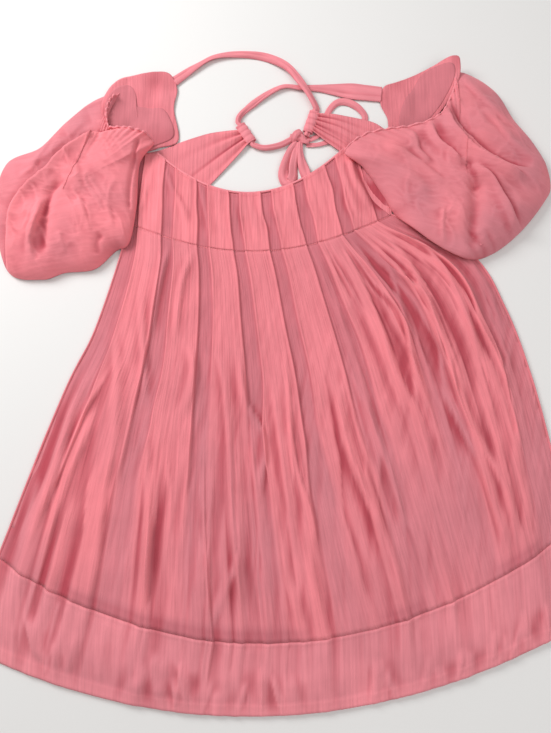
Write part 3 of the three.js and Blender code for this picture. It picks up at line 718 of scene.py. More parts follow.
def drawn_folds(x, y):
    """The skirt's large single folds: path, height, and reach to the left and right."""
    folds = (
        ([(-102, -140), (-93, -194), (-106, -260)], 4.5, 4, 9),
        ([(-72, -140), (-49, -211), (-32, -405), (-20, -520)], 5.5, 8, 3),
        ([(-28, -140), (-17, -230), (10, -287), (3, -390)], 5.0, 3, 8),
        ([(-175, -60), (-170, -130), (-160, -245)], 4.0, 3, 7),
        ([(-215, -120), (-204, -200), (-205, -300)], 3.5, 4, 8),
        ([(-160, -260), (-150, -400), (-148, -510)], 4.0, 4, 8),
        ([(-264, -210), (-282, -320), (-290, -400)], 3.2, 4, 8),
        ([(-310, -330), (-330, -440)], 2.6, 4, 7),
        ([(-20, -440), (-45, -500), (-60, -540)], 3.5, 4, 8),
        ([(20, -190), (32, -290), (62, -520)], 5.0, 8, 3),
        ([(110, -190), (128, -300), (165, -400), (180, -470)], 6.5, 9, 3),
        ([(135, -180), (185, -320), (212, -440)], 5.0, 7, 3),
        ([(262, -200), (310, -310), (335, -400), (352, -450)], 7.0, 12, 3),
        ([(300, -260), (345, -350), (362, -440)], 4.0, 7, 3),
        ([(190, 30), (232, -30), (262, -120), (275, -230)], 5.0, 5, 3),
        ([(200, 42), (262, 0), (305, -90), (330, -200)], 5.0, 5, 3),
        ([(178, 20), (205, -50), (225, -150), (232, -260)], 4.0, 5, 3),
        ([(204, 55), (285, 30), (345, -50), (372, -150)], 4.0, 5, 3),
        ([(-136, 15), (-150, -60), (-158, -140)], 4.0, 3, 7),
        ([(-98, 5), (-116, -60), (-122, -150)], 4.0, 3, 7),
    )
    broad = crease(x, y, [(-222, -170), (-236, -290), (-252, -400)], -3.0, 16, 16, 0.3)
    return broad + creases(x, y, [(*fold, 0.25) for fold in folds])


def band_creases(x, y):
    """The band's own soft creases, which cross it at a slant."""
    rng = np.random.default_rng(58)
    z = crease(x, y, [(-264, -490), (-275, -542), (-284, -600)], 2.2, 1.6, 3.0, 0.05)
    for k in range(60):
        left = rng.uniform(-370, 430) if k < 42 else rng.uniform(170, 430)
        low = -560 - 118 * (1 - ((left - 30) / 430) ** 2) + rng.uniform(-12, 25)
        run = rng.uniform(-26, 30)
        z += crease(x, y, [(left, low + 70), (left + run * 0.4, low + 35), (left + run, low)],
                    rng.uniform(1.5, 4.5), rng.uniform(2, 10), rng.uniform(2, 10), 0.3)
    return z


def bodice_creases(x, y):
    """Creases where the bodice slackens at its ends, and the hollow under the right sleeve."""
    return creases(x, y, (
        ([(146, 168), (150, 130), (168, 92), (178, 66)], 4.0, 3, 9),
        ([(160, 150), (176, 128), (200, 96), (206, 74)], 5.0, 4, 8),
        ([(128, 160), (136, 120), (150, 74), (160, 50)], 2.2, 3, 5),
        ([(158, 150), (166, 120), (180, 92), (196, 70)], -4.5, 4, 5),
        ([(-150, 150), (-138, 110), (-118, 70), (-112, 42)], 2.4, 3, 6),
        ([(-96, 122), (-88, 88), (-78, 40), (-75, 22)], 2.6, 6, 3),
        ([(-172, 150), (-176, 110), (-190, 60)], 1.6, 3, 5),
    ))


def underarm_shade(x, y):
    """How much darker the hollow under the right sleeve is: a bell about its middle."""
    across, up = (x - 186) / 17, (y - 96) / 24
    return np.exp(-(across**2 + up**2) ** 2)


def add_back():
    """The back of the skirt and hem band, flat on the table, with the lining inside."""
    for plan, rows, swell, panels in (
        (skirt_plan, 60, lambda across, down: 0.25 * noise(across * 60, down * 6, 61), (
            ("back_skirt_cloth", "back_skirt", "gauze", "crinkled_gauze", 0.0, 0.3, FLAT_INNER_SKIRT, 60),
            ("back_skirt_inside", "back_skirt_lining", "lining", "thin_lining", BACK_LINING_GAP, 0.3,
             FLAT_INNER_SKIRT, 55))),
        (band_plan, 10, lambda across, down: 0.2 * noise(across * 50, down * 2, 63), (
            ("back_band_cloth", "back_hem_band", "band", "double_gauze", 0.0, 0.5, FLAT_BAND, 10),
            ("back_band_facing", "back_hem_facing", "band", "double_gauze", BACK_LINING_GAP, 0.5, FLAT_BAND, 10))),
    ):
        across, down = np.meshgrid(np.linspace(0, 1, 90), np.linspace(0, 1, rows))
        x, y = plan(across, down)
        level = BACK_Z + swell(across, down) + 1.8 * smoothstep(1 - np.minimum(across, 1 - across) * 14)
        for name, node, slot, look, lift, ply, flat, keep in panels:
            lay_cloth(name, [node], x[:keep], y[:keep], level[:keep] + lift, look, LINING, flat, ply=ply, slot=slot)


def seam_line(across, down, lift):
    """Points along the skirt's plan, at the front's height."""
    across, down = np.broadcast_arrays(np.asarray(across, float), np.asarray(down, float))
    x, y = skirt_plan(across, down)
    width = panel_width(down)
    band, _ = pleats(across[None], down[None], width[None])
    return np.stack([x, y, body_rise(fanned(across, down), width) + 1.9 * band[0] + lift], axis=1)


def add_seams():
    """The underbust, waist, side and armhole seams, the neckline's binding and the rows of stitches."""
    gauze = cloth("crinkled_gauze")
    underbust = seam_line(np.linspace(0.004, 0.996, 260), np.zeros(260), -0.9)
    finish_seam(strap_piece("underbust_join", underbust, 2.6, 1.3, gauze, sides=8, ply=0.9), "underbust_seam")
    waist = np.column_stack([underbust[::4, :2], np.full(65, BACK_Z + 2.0)])
    finish_seam(strap_piece("back_waist_join", waist, 2.6, 1.2, gauze, sides=8), "back_waist_seam")

    neck_x = between(NECK_ENDS[0, 0], NECK_ENDS[1, 0], np.linspace(0, 1, 160))
    neck_share = (neck_x - SHOULDER_ENDS[0, 0]) / (SHOULDER_ENDS[1, 0] - SHOULDER_ENDS[0, 0])
    neck = np.stack([neck_x, neckline_y(neck_x), body_rise(neck_share, CHEST) * 0.68 + 1.0], axis=1)
    piece = strap_piece("neckline_edge", neck, 3.4, 2.4, cloth("double_gauze"), sides=10, ply=0.95)
    finish_seam(piece, "neckline_binding")

    for k, side, inwards in ((0, "left", 1), (1, "right", -1)):
        skirt = np.stack(skirt_plan(np.full(90, float(k)), np.linspace(0, 1, 90)), axis=1)
        band = between(BAND_ENDS[k], HEM_ENDS[k], np.linspace(0, 1, 20)[1:, None])
        underarm = UNDERBUST_ENDS[k] + [inwards, 30.0]
        plan = np.vstack([underarm, skirt, band])
        line = np.column_stack([plan[:, 0] + 1.6 * inwards, plan[:, 1], np.full(len(plan), EDGE_Z - 0.6)])
        line[:, 2] += 0.4 * noise(np.arange(len(plan)) * 0.35, 0.5, 71 + k)
        finish_seam(strap_piece(f"side_join_{side}", line, 3.2, 4.6, gauze, sides=10, ply=0.55), f"side_seam_{side}")
        top = SHOULDER_ENDS[k]
        hole = spline([underarm, between(underarm, top, 0.5) + [4 * inwards, 0], top], 40)
        hole = np.column_stack([hole, between(EDGE_Z, 8.5, smoothstep(np.linspace(0, 1, 40)))])
        finish_seam(strap_piece(f"armhole_join_{side}", hole, 3.2, 2.4, gauze, sides=8), f"armhole_seam_{side}")

    rows = [seam_line(across_samples(260), np.zeros(260), 0.75), neck + [0, -5.5, 2.2]]
    stitch_piece("body_stitches", rows, cloth("pink_thread"))


# ---- the back above the waist ----

WINGS = {
    "left": {
        "upper": [(-32, 212), (-58, 210), (-89, 204), (-129, 190), (-161, 176), (-189, 170)],
        "lower": [(-17, 187), (-41, 158), (-83, 110), (-130, 62), (-170, 44), (-205, 50)],
        "level": 1.6, "wave": 3,
    },
    "right": {
        "upper": [(92, 240), (115, 240), (140, 236), (172, 229), (188, 223), (204, 212)],
        "lower": [(84, 208), (106, 190), (138, 164), (160, 130), (178, 90), (206, 62)],
        "level": 4.4, "wave": 5,
    },
}
CASINGS = {"left": np.array([(-31.0, 219), (-12, 189)]), "right": np.array([(90.0, 243), (78, 206)])}
YOKE_LININGS = {
    "left": [
        (-233, 288), (-214, 292), (-203, 274), (-205, 257), (-184, 252), (-158, 250), (-143, 226), (-139, 200),
        (-163, 185), (-189, 180), (-231, 200), (-249, 236), (-249, 263),
    ],
    "right": [
        (226, 222), (242, 214), (262, 219), (291, 247), (314, 290), (316, 316), (296, 320), (268, 311), (252, 286),
        (236, 262),
    ],
}
YOKES = {
    "left": [
        (-232, 300), (-183, 313), (-150, 313), (-136, 287), (-140, 250), (-131, 194), (-161, 180),
        (-189, 175), (-236, 195), (-256, 235), (-255, 265),
    ],
    "right": [
        (204, 289), (232, 302), (283, 321), (318, 332), (326, 318), (322, 290), (296, 242),
        (262, 212), (216, 206), (208, 236), (198, 261),
    ],
}


def add_wings():
    """The two back wings: cloth drawn from the armhole side to a casing, gathered towards it."""
    for side, shape in WINGS.items():
        far, near = (spline(shape[k], 90) for k in ("upper", "lower"))
        across = np.linspace(0, 1, 60)[:, None]
        away = np.linspace(0, 1, 90)[None]
        plan = between(far[None], near[None], across[..., None])
        drawn = np.exp(-away * 3.4)
        long_fold = bell(across - 0.55 - 0.1 * away, 0.05) * np.exp(-away * 2.2)
        z = shape["level"] + 2.6 * drawn * ribs(across, shape["wave"], 81) + 2.6 * drawn
        z = z - 1.6 * long_fold + 0.5 * noise(across * 5, away * 7, 83)
        ply = np.clip(0.62 + 0.3 * drawn + 0.15 * noise(across * 4, away * 5, 87), 0, 1)
        # painted shade in the troughs of the gathers and along the long fold
        painted_shade = np.clip(dips(z, 4, 1.0, axis=0) + 0.5 * long_fold, 0, 1)
        lay_cloth(f"wing_{side}_gathered", [f"back_wing_{side}"], plan[..., 0], plan[..., 1], z, "crinkled_gauze",
                  SHELL, 0.2, ply=ply, painted_shade=painted_shade, held="gathered")
        add_casing(side)


def add_casing(side):
    """A casing: a soft tunnel round the tie, ruffled along its length, open at both ends."""
    inner, outer = CASINGS[side]
    share = np.linspace(0, 1, 60)[:, None]
    angle = np.linspace(0, 2 * np.pi, 40, endpoint=False)[None]
    along = (outer - inner) / np.linalg.norm(outer - inner)
    puckers = ribs(share, 4, 91)
    across = 8.4 * np.cos(angle) * (1 + 0.05 * puckers + 0.03 * noise(share * 9, angle, 93))
    plan = between(inner, outer, share)[:, None] + across[..., None] * [along[1], -along[0]]
    z = CASING_Z + 4.1 * np.sin(angle) * (1 + 0.09 * puckers)
    points = np.concatenate([plan, z[..., None]], axis=2)
    # painted shade in the troughs of the puckers
    painted_shade = np.clip(-0.45 * puckers, 0, 1) * np.ones_like(across)
    piece = make_piece(f"casing_{side}_gathered", points, grid_faces(60, 40, around=True), cloth("double_gauze"),
                       plan, 0.8, painted_shade, up=False)
    wall(piece, 0.8)
    finish_cloth(piece, "band", [f"wing_casing_{side}"], held="gathered", flat=0.034)


def disc(outline, rings, rise):
    """A patch filled from its middle to its outline, with its height a function of x, y and ring share."""
    middle = outline.mean(axis=0)
    count = len(outline)
    share = (np.arange(1, rings + 1) / rings)[:, None, None]
    plan = np.vstack([(middle + (outline[None] - middle) * share).reshape(-1, 2), middle])
    shares = np.append(np.repeat(share, count), 0)
    hub = rings * count
    faces = grid_faces(rings, count, around=True) + [[hub, k, (k + 1) % count] for k in range(count)]
    return np.column_stack([plan, rise(plan[:, 0], plan[:, 1], shares)]), faces


def counter_clockwise(outline):
    """The outline, reversed if it runs clockwise."""
    x, y = outline.T
    area = (x * np.roll(y, -1) - np.roll(x, -1) * y).sum()
    return outline if area > 0 else outline[::-1]


YOKE_LIFTS = {
    "left": lambda x, y: 3.0 + 6 * smoothstep((-212 - x) / 45) + 5 * smoothstep((y - 285) / 30),
    "right": lambda x, y: 3.0 + 19 * smoothstep((x - 255) / 70) + 4 * smoothstep((y - 296) / 35),
}


def yoke_rise(side, x, y):
    """A yoke's height: its lift towards the neck's edge, and noise at two sizes."""
    return YOKE_LIFTS[side](x, y) + 1.2 * noise(x / 16, y / 22, 95) + 0.4 * noise(x / 6, y / 30, 96)


def add_yokes():
    """The back yokes, seen from inside through the sleeves' necks, each with its lining."""
    for side in YOKES:
        outline = counter_clockwise(spline(YOKES[side], 150, closed=True)[:-1])
        points, faces = disc(outline, 30, lambda x, y, share: yoke_rise(side, x, y))
        # painted shade over the yoke seen inside the dress, varying at random
        painted_shade = np.clip(0.12 + 0.3 * noise(points[:, 0] / 25, points[:, 1] / 30, 97), 0, 1)
        piece = make_piece(f"yoke_{side}_cloth", points, faces, cloth("crinkled_gauze"), points[:, :2], 0.6, painted_shade)
        wall(piece, 0.6)
        finish_cloth(piece, "gauze", [f"back_yoke_{side}"], flat=0.13)
        inner = counter_clockwise(spline(YOKE_LININGS[side], 130, closed=True)[:-1])
        points, faces = disc(inner, 24, lambda x, y, share: yoke_rise(side, x, y) + 1.0 - 0.6 * share**6)
        # painted shade on the lining, deeper towards its lower edge
        shade = 0.15 + 0.5 * smoothstep((225 - points[:, 1]) / 35)
        piece = make_piece(f"yoke_{side}_lining", points, faces, cloth("thin_lining"), points[:, :2], 0.3, 0.6 * shade)
        wall(piece, 0.4)
        finish_cloth(piece, "lining", [f"yoke_lining_{side}"], flat=0.11)


# ---- ties and bow ----

def casing_run(side):
    """Points that lead a tie straight through its casing."""
    return [(*between(*CASINGS[side], share), CASING_Z) for share in (-0.2, 0, 0.5, 1, 1.18)]


def add_ties(sizes):
    """The two ties: sewn straps that twist as they run from the yokes through the casings."""
    width = sizes.tie_width / MM
    left = spline([
        (-141.9, 300.8, TIE_Z), (-108, 327, TIE_Z), (-76, 347, TIE_Z), (-34, 352, TIE_Z), (8, 346, TIE_Z + 1),
        (42, 326, 9.5), (62, 302, 10.5), (80, 274, 9.5), *casing_run("right"),
    ], 260)
    share = np.linspace(0, 1, 260)
    widths = width * (1 + 0.12 * noise(share * 13, 0.5, 101)) + 5 * np.exp(-share * 18)
    widths = between(widths, width * 0.8, smoothstep((share - 0.84) / 0.04))
    lay_strap("tie_left_strap", "tie_left", left, widths, 4.4 + 0.6 * noise(share * 17, 2.5, 102), 0.44, sides=20,
              twist=0.55 * np.sin(9 * share) * smoothstep(share / 0.2), furrow=0.3)

    right = spline([
        (200.4, 277, TIE_Z), (149, 283, TIE_Z), (100, 288, TIE_Z), (66, 290, TIE_Z), (40, 292, TIE_Z),
        (14, 279, TIE_Z), (-14, 256, TIE_Z), (-31, 238, TIE_Z + 1), *casing_run("left"),
        (10, 179, CASING_Z), (34, 184, CASING_Z), (KNOT[0] - 7.4, KNOT[1] - 3, CASING_Z),
    ], 300)
    share = np.linspace(0, 1, 300)
    widths = between(width * 0.95, 29, smoothstep((0.3 - share) / 0.2)) * (1 + 0.08 * noise(share * 15, 0.5, 103))
    widths = between(widths, width * 0.74, smoothstep((share - 0.58) / 0.05))
    lay_strap("tie_right_strap", "tie_right", right, widths, 4.2 + 0.6 * noise(share * 19, 2.5, 104), 0.43, sides=20,
              twist=0.5 * np.sin(11 * share) * smoothstep((share - 0.2) / 0.1), furrow=0.3)


def add_bow():
    """The bow: a wrapped knot, a loop and a tail that hang over the neckline, and a loop behind the wing."""
    wrap = spline([(54, 190, 4), (55, 194, 9), (59, 200, 11.2), (65, 205, 9), (68, 207, 4)], 40)
    core = spline([(50, 198, 4.6), (58, 197.5, 6), (66, 196, 6), (74, 191, 5), (80, 190, 4)], 50)
    share = np.linspace(0, 1, 50)
    outer, outer_faces = capped(strap_points(wrap, 10.5, 3.2, 20, 0.0, 0.3))
    inner, inner_faces = capped(strap_points(core, 9 + 4 * np.sin(np.pi * share), 8 - 3 * share, 20,
                                             0.35 * np.sin(9 * share), 0.3), start=len(outer))
    points = np.concatenate([outer, inner])
    knot = make_piece("bow_knot_wrapped", points, outer_faces + inner_faces, cloth("double_gauze"), points[:, :2],
                      0.75, 0.1, up=False)
    finish_cloth(knot, "band", ["bow_knot"], held="folded", flat=0.05, tube=True)

    loop = spline([
        (60, 190, 4.2), (50, 172, 4.0), (42, 150, 3.6), (39, 132, 3.4), (43, 120, 3.2), (50, 119, 3.4),
        (54, 130, 3.4), (55, 150, 3.6), (62, 188, 4.0),
    ], 130)
    share = np.linspace(0, 1, 130)
    widths = 9 + 9 * np.sin(np.pi * np.clip(share * 1.05, 0, 1)) ** 0.7
    lay_strap("bow_loop_strap", "bow_loop", loop, widths, 4.0, 0.15, body="bow_loop",
              twist=0.5 * np.sin(7 * share), furrow=0.35)
    tail = spline([(66, 190, 4.2), (66, 172, 3.8), (69, 152, 3.4), (74, 134, 3.2), (77, 124, 3.0)], 70)
    share = np.linspace(0, 1, 70)
    lay_strap("bow_tail_strap", "bow_tail", tail, 8 + 9 * smoothstep(share * 1.3), 3.8, 0.07, body="bow_tail",
              twist=0.4 * np.sin(5 * share), furrow=0.35)
    behind = spline([
        (69, 195, 1.8), (84, 196.5, 1.7), (98, 206, 1.7), (106, 228, 1.7), (114, 248, 2.2), (128, 262, 2.6),
        (146, 262, 2.6), (164, 250, 2.2), (172, 232, 1.7), (152, 212, 1.7), (122, 196, 1.7), (96, 187, 1.7),
        (76, 186, 1.7),
    ], 200)
    share = np.linspace(0, 1, 200)
    seen = bell(share - 0.45, 0.16)
    lay_strap("bow_loop_behind_strap", "bow_loop_behind", behind, 9 + 3 * seen, 2.0 + 2.0 * seen, 0.22,
              twist=0.25 * np.sin(12 * share), furrow=0.3)


# ---- sleeves ----

def bed_height(x, y):
    """The height of the dress's body under a sleeve: level inside its side edges and falling to the table."""
    downs = np.linspace(0, 1, 60)
    edges = []
    for k, flare in ((0, LEFT_FLARE), (1, RIGHT_FLARE)):
        line = side_line(UNDERBUST_ENDS[k], BAND_ENDS[k], flare, downs)
        line = np.vstack([SHOULDER_ENDS[k] + [0, 60], SHOULDER_ENDS[k], line])
        edges.append(np.interp(-y, -line[:, 1], line[:, 0]))
    inside = np.minimum(x - edges[0], edges[1] - x)
    top = smoothstep((205 - y) / 25)
    return 1.5 + 15.5 * smoothstep((inside + 14) / 55) * top


LEFT_RIDGE = [
    (-196, 206), (-232, 196), (-265, 192), (-290, 175), (-316, 153), (-330, 131), (-350, 112), (-370, 89),
    (-383, 64), (-386, 22), (-384, -50),
]


def sleeve_crinkle(x, y, seed):
    """Fine wrinkles: thin ridges where a smooth noise crosses zero, at two sizes."""
    bent_x, bent_y = x + 9 * noise(x / 31, y / 37, seed + 2), y + 9 * noise(x / 33, y / 29, seed + 3)
    turned_x, turned_y = bent_x * 0.85 + bent_y * 0.53, bent_y * 0.85 - bent_x * 0.53
    sharp = 1 - np.abs(noise(turned_x / 17, turned_y / 44, seed))
    fine = 1 - np.abs(noise((turned_x + turned_y) / 13, (turned_y - turned_x) / 22, seed + 1))
    return 1.7 * (sharp**4 - 0.3) + 0.7 * (fine**3 - 0.3)


def left_puff(x, y):
    """The left sleeve's top: a low far side and a high near side that meet in a rolled ridge, with creases."""
    return between(11, 33, step_up(x, y, LEFT_RIDGE, 11)) + creases(x, y, (
        (LEFT_RIDGE, 7.5, 12, 4, 0.08),
        ([(px - 7, py + 8) for px, py in LEFT_RIDGE], -4.0, 5, 9, 0.1),
        ([(-236, 288), (-252, 267), (-277, 257), (-305, 244), (-330, 226), (-344, 205)], 5.0, 4, 9),
        ([(-330, 228), (-332, 207), (-348, 169), (-360, 140), (-385, 120)], 2.6, 3, 8),
        ([(-275, 230), (-310, 195), (-345, 160), (-385, 140)], 3.0, 5, 12),
        ([(-284, 138), (-274, 99), (-270, 88)], 2.2, 3, 8),
        ([(-276, 84), (-264, 52), (-252, 20)], 3.0, 3, 10),
        ([(-300, 26), (-296, 8), (-290, -10)], 2.4, 3, 7),
        ([(-232, 76), (-226, 50), (-220, 30)], 2.0, 3, 7),
        ([(-322, 92), (-330, 60), (-336, 37), (-343, 8), (-338, -26)], 7.0, 4, 9),
        ([(-306, 128), (-308, 105), (-322, 82), (-324, 40), (-327, -18)], -7.0, 8, 8),
        ([(-236, 24), (-245, 10), (-243, -10)], -4.0, 5, 7),
        ([(-186, 186), (-193, 160), (-198, 128), (-200, 96), (-199, 58)], -5.0, 2.5, 3.5, 0.12),
        ([(-270, 150), (-240, 120), (-215, 100)], 1.6, 10, 16),
    )) + 2.6 * noise(x / 34, y / 28, 111) + sleeve_crinkle(x, y, 113)


def right_puff(x, y):
    """The right sleeve's top: long folds that run out from the gathered neck and a smooth front lobe."""
    folds = 2.5 * smoothstep((x - 250) / 90) + creases(x, y, (
        ([(296, 256), (304, 203), (332, 160), (384, 126), (420, 108)], 8.0, 3.5, 14),
        ([(306, 250), (320, 210), (347, 172), (394, 142), (434, 130)], -6.0, 18, 4.5),
        ([(268, 214), (280, 177), (301, 152), (316, 132)], 5.5, 3, 9),
        ([(236, 200), (246, 180), (250, 160), (268, 140)], 2.6, 3, 8),
        ([(328, 134), (355, 110), (379, 69), (392, 45), (410, 28)], 6.5, 3.5, 10),
        ([(322, 146), (333, 112), (342, 90)], -3.0, 6, 9),
        ([(334, 120), (334, 75), (326, 26), (330, -10)], -6.0, 10, 12),
        ([(282, 66), (279, 35), (281, 4)], 2.2, 4, 3),
        ([(136, 154), (176, 146), (216, 128), (250, 100), (256, 66)], 2.6, 9, 16),
        ([(190, 170), (225, 158), (262, 128), (290, 100)], 2.4, 4, 10),
        ([(352, 240), (378, 205), (402, 170), (430, 150)], 2.2, 8, 5),
        ([(330, 300), (352, 262), (382, 222), (400, 200)], 2.4, 9, 6),
    ))
    hem = smoothstep((70 - y - 0.35 * (x - 300)) / 60) * smoothstep((x - 300) / 60)
    folds += 1.6 * np.cos(((x - 360) * 0.8 + (y - 20) * 0.6) / 2.6) * hem
    return 31 + 1.6 * (folds - 1) + 2.4 * noise(x / 38, y / 30, 121) + sleeve_crinkle(x, y, 123)


SLEEVES = {
    "left": {
        "neck": LEFT_NECK, "rest": LEFT_REST, "top": left_puff, "middle": (-300.0, 88.0),
        "fold": ((-202, 0), (-261, 290)), "out": (-0.9799, -0.1994),
        "rim": lambda x, y: between(31, 13, smoothstep((y - 196) / 14)),
        "ply": lambda x, y: between(0.2, 0.85, step_up(x, y, LEFT_RIDGE, 8)), "patch": 0.35,
    },
    "right": {
        "neck": RIGHT_NECK, "rest": RIGHT_REST, "top": right_puff, "middle": (322.0, 118.0),
        "fold": ((228, 40), (338, 320)), "out": (0.9308, -0.3657),
        "rim": lambda x, y: between(25, 21, smoothstep((y - 240) / 60)),
        "ply": lambda x, y: 0.45 - 0.25 * smoothstep((x - 330) / 60), "patch": 0.5,
    },
}


def sleeve_outline(shape, neck_count, around):
    """A sleeve's outline from above: neck_count points along the neck's edge and the rest round the cloth."""
    whole = spline(shape["neck"] + shape["rest"], 3000, closed=True)[:-1]
    neck_end = ((whole - np.array(shape["neck"][-1])) ** 2).sum(axis=1).argmin()
    rest = np.vstack([whole[neck_end:], whole[:1]])
    return np.vstack([spread(whole[: neck_end + 1], neck_count + 1)[:-1], spread(rest, around - neck_count + 1)[:-1]])


def sleeve_faces(rings, lower_rings, around, neck_count):
    """Faces of the upper cloth from its hub out, the lower cloth, and the join between them outside the neck."""
    low_start, rim_start = 1 + rings * around, 1 + (rings - 1) * around
    last, hub = low_start + (lower_rings - 1) * around, low_start + lower_rings * around
    after = [(k + 1) % around for k in range(around)]
    faces = [[0, 1 + k, 1 + after[k]] for k in range(around)]
    faces += grid_faces(rings, around, around=True, start=1)
    faces += grid_faces(lower_rings, around, around=True, start=low_start)
    faces += [[low_start + k, low_start + after[k], rim_start + after[k], rim_start + k]
              for k in range(neck_count, around)]
    return faces + [[hub, last + after[k], last + k] for k in range(around)]


def add_sleeve(side, sizes):
    """A puff sleeve: an upper and a lower cloth between one outline, joined round it except at the neck,
    whose edge is drawn into small gathers. Height is the rim's, raised by a dome of the share out."""
    shape = SLEEVES[side]
    neck_count, around, rings = 110, 440, 74
    outline = sleeve_outline(shape, neck_count, around)
    middle = np.array(shape["middle"])
    out = np.sin(np.pi / 2 * np.arange(1, rings + 1) / rings)[:, None]
    plan = middle + (outline[None] - middle) * out[..., None]
    x, y = plan[..., 0], plan[..., 1]

    def top(x, y):
        return shape["top"](x, y) * (sizes.puff_height / 0.046)

    bed = bed_height(x, y)
    column = np.arange(around)
    neck_share = np.where(column < neck_count, column / neck_count, 0)
    near_neck = smoothstep(np.minimum(neck_share, 1 - neck_share) * 9)[None]
    rim = between(bed[-1] + 1.2, shape["rim"](*outline.T), near_neck[0])[None]
    gathers = ribs(neck_share, 15, 131)[None] * near_neck * np.exp(-(1 - out) * 8)
    z = rim + (top(x, y) - rim) * (1 - out**3.4) ** 0.5 + 1.8 * gathers
    z = np.clip(np.maximum(z, bed + 0.8), 0.8, CAD_HIGH[2] / MM + 3)
    low = bed + 0.2 + 0.5 * noise(x / 30, y / 30, 133)
    low = between(low, rim - 0.9, out**14 * (1 - near_neck))
    lower = np.dstack([x, y, low])[::-1][::3]
    points = np.vstack([[*middle, top(*middle[:, None])[0]], np.dstack([x, y, z]).reshape(-1, 3),
                        lower.reshape(-1, 3), [*middle, lower[-1, :, 2].mean()]])

    wrapped = np.hstack([z[:, -8:], z, z[:, :8]])
    off_joint = np.minimum(np.abs(column - neck_count), np.minimum(column, around - column)) / 16
    # painted shade in the hollows between the sleeve's folds and gathers
    painted_shade = dips(wrapped, 8, 3.2)[:, 8:-8] * smoothstep(out / 0.3) * smoothstep(off_joint) + dips(z, 3, 2.4, axis=0)
    painted_shade, ply = np.clip(painted_shade * 0.9, 0, 1), np.clip(shape["ply"](x, y) + shape["patch"] * noise(x / 42, y / 42, 137), 0, 1)

    def with_lower(top_values, value):
        return np.concatenate([[top_values[0].mean()], top_values.ravel(), np.full(lower.size // 3 + 1, value)])

    turn = math.atan2(shape["out"][1], shape["out"][0])
    uv = points[:, :2] @ [[math.sin(turn), math.cos(turn)], [-math.cos(turn), math.sin(turn)]]
    # the lower cloth gets an even painted shade of 0.2
    piece = make_piece(f"sleeve_{side}_puff", points, sleeve_faces(rings, len(lower), around, neck_count),
                       cloth("soft_gauze"), uv, with_lower(ply, 0.4), with_lower(painted_shade, 0.2), up=False)
    wall(piece, SHELL)
    finish_cloth(piece, "gauze", [f"sleeve_puff_{side}", f"sleeve_head_{side}"], body=None, held="gathered", flat=0.34)
    fold, away = np.mean(shape["fold"], axis=0), np.array(shape["out"])
    start, end = (to_frame([*(fold + reach * away), 46.0]).tolist() for reach in (-12, 34))
    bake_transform(piece)
    add_sleeve_edge(side, outline[: neck_count + 1], z[-1, : neck_count + 1])
    add_cuff(side)


def add_sleeve_edge(side, line, heights):
    """The sleeve's neck edge: a narrow binding round an elastic, which ruffles it."""
    share = np.linspace(0, 1, 240)
    path = spread(np.column_stack([line, heights + 0.6]), 240)
    path[:, 2] += 0.9 * ribs(share, 15, 131)
    ends = smoothstep(np.minimum(share, 1 - share) * 12)
    edge = strap_piece(f"sleeve_{side}_neck_edge", path, (3.2 + 1.0 * ribs(share, 34, 141)) * (0.4 + 0.6 * ends),
                       3.4, cloth("double_gauze"), sides=12, furrow=0.2, ply=0.8)
    finish_seam(edge, f"sleeve_binding_{side}", f"sleeve_elastic_{side}")


def add_cuff(side):
    """A cuff: an oval ring of cloth gathered on its elastic, open at both ends, inside the sleeve's mouth."""
    low, high = (np.array(corner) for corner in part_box(f"cuff_{side}"))
    centre = (low + high) / 2 / MM - [*ORIGIN, 0]
    turn, half_width, half_height, half_length = {"left": 0.0, "right": 0.62}[side], 47.0, 5.0, 9.0
    centre = centre + {"left": [0, 9, -2.5], "right": [-5, 9, -5.5]}[side]
    share = np.linspace(-1, 1, 26)[:, None]
    angle = np.linspace(0, 2 * np.pi, 220, endpoint=False)[None]
    ruffle = 1 + 0.035 * np.cos(46 * angle + 1.2 * noise(share, angle * 4, 151)) * (0.35 + 0.65 * np.abs(share))
    x = half_width * np.cos(angle) * ruffle
    z = half_height * np.sin(angle) * (1 + 3 * (ruffle - 1))
    y = half_length * share * np.ones_like(x)
    points = np.stack([
        centre[0] + x * math.cos(turn) - y * math.sin(turn),
        centre[1] + x * math.sin(turn) + y * math.cos(turn),
        centre[2] + z,
    ], axis=2)
    uv = np.stack(np.broadcast_arrays(angle * 40, y), axis=2)
    # painted shade in the troughs of the ruffles
    painted_shade = np.clip((1 - ruffle) * 14, 0, 1) * np.ones_like(x)
    faces = grid_faces(26, 220, around=True)
    piece = make_piece(f"cuff_{side}_gathered", points, faces, cloth("double_gauze"), uv, 0.6, painted_shade, up=False)
    wall(piece, 1.6)
    finish_cloth(piece, "band", [f"cuff_{side}", f"cuff_elastic_{side}"], body=f"sleeve_{side}", held="gathered",
                 flat=0.021)


# ---- stage ----

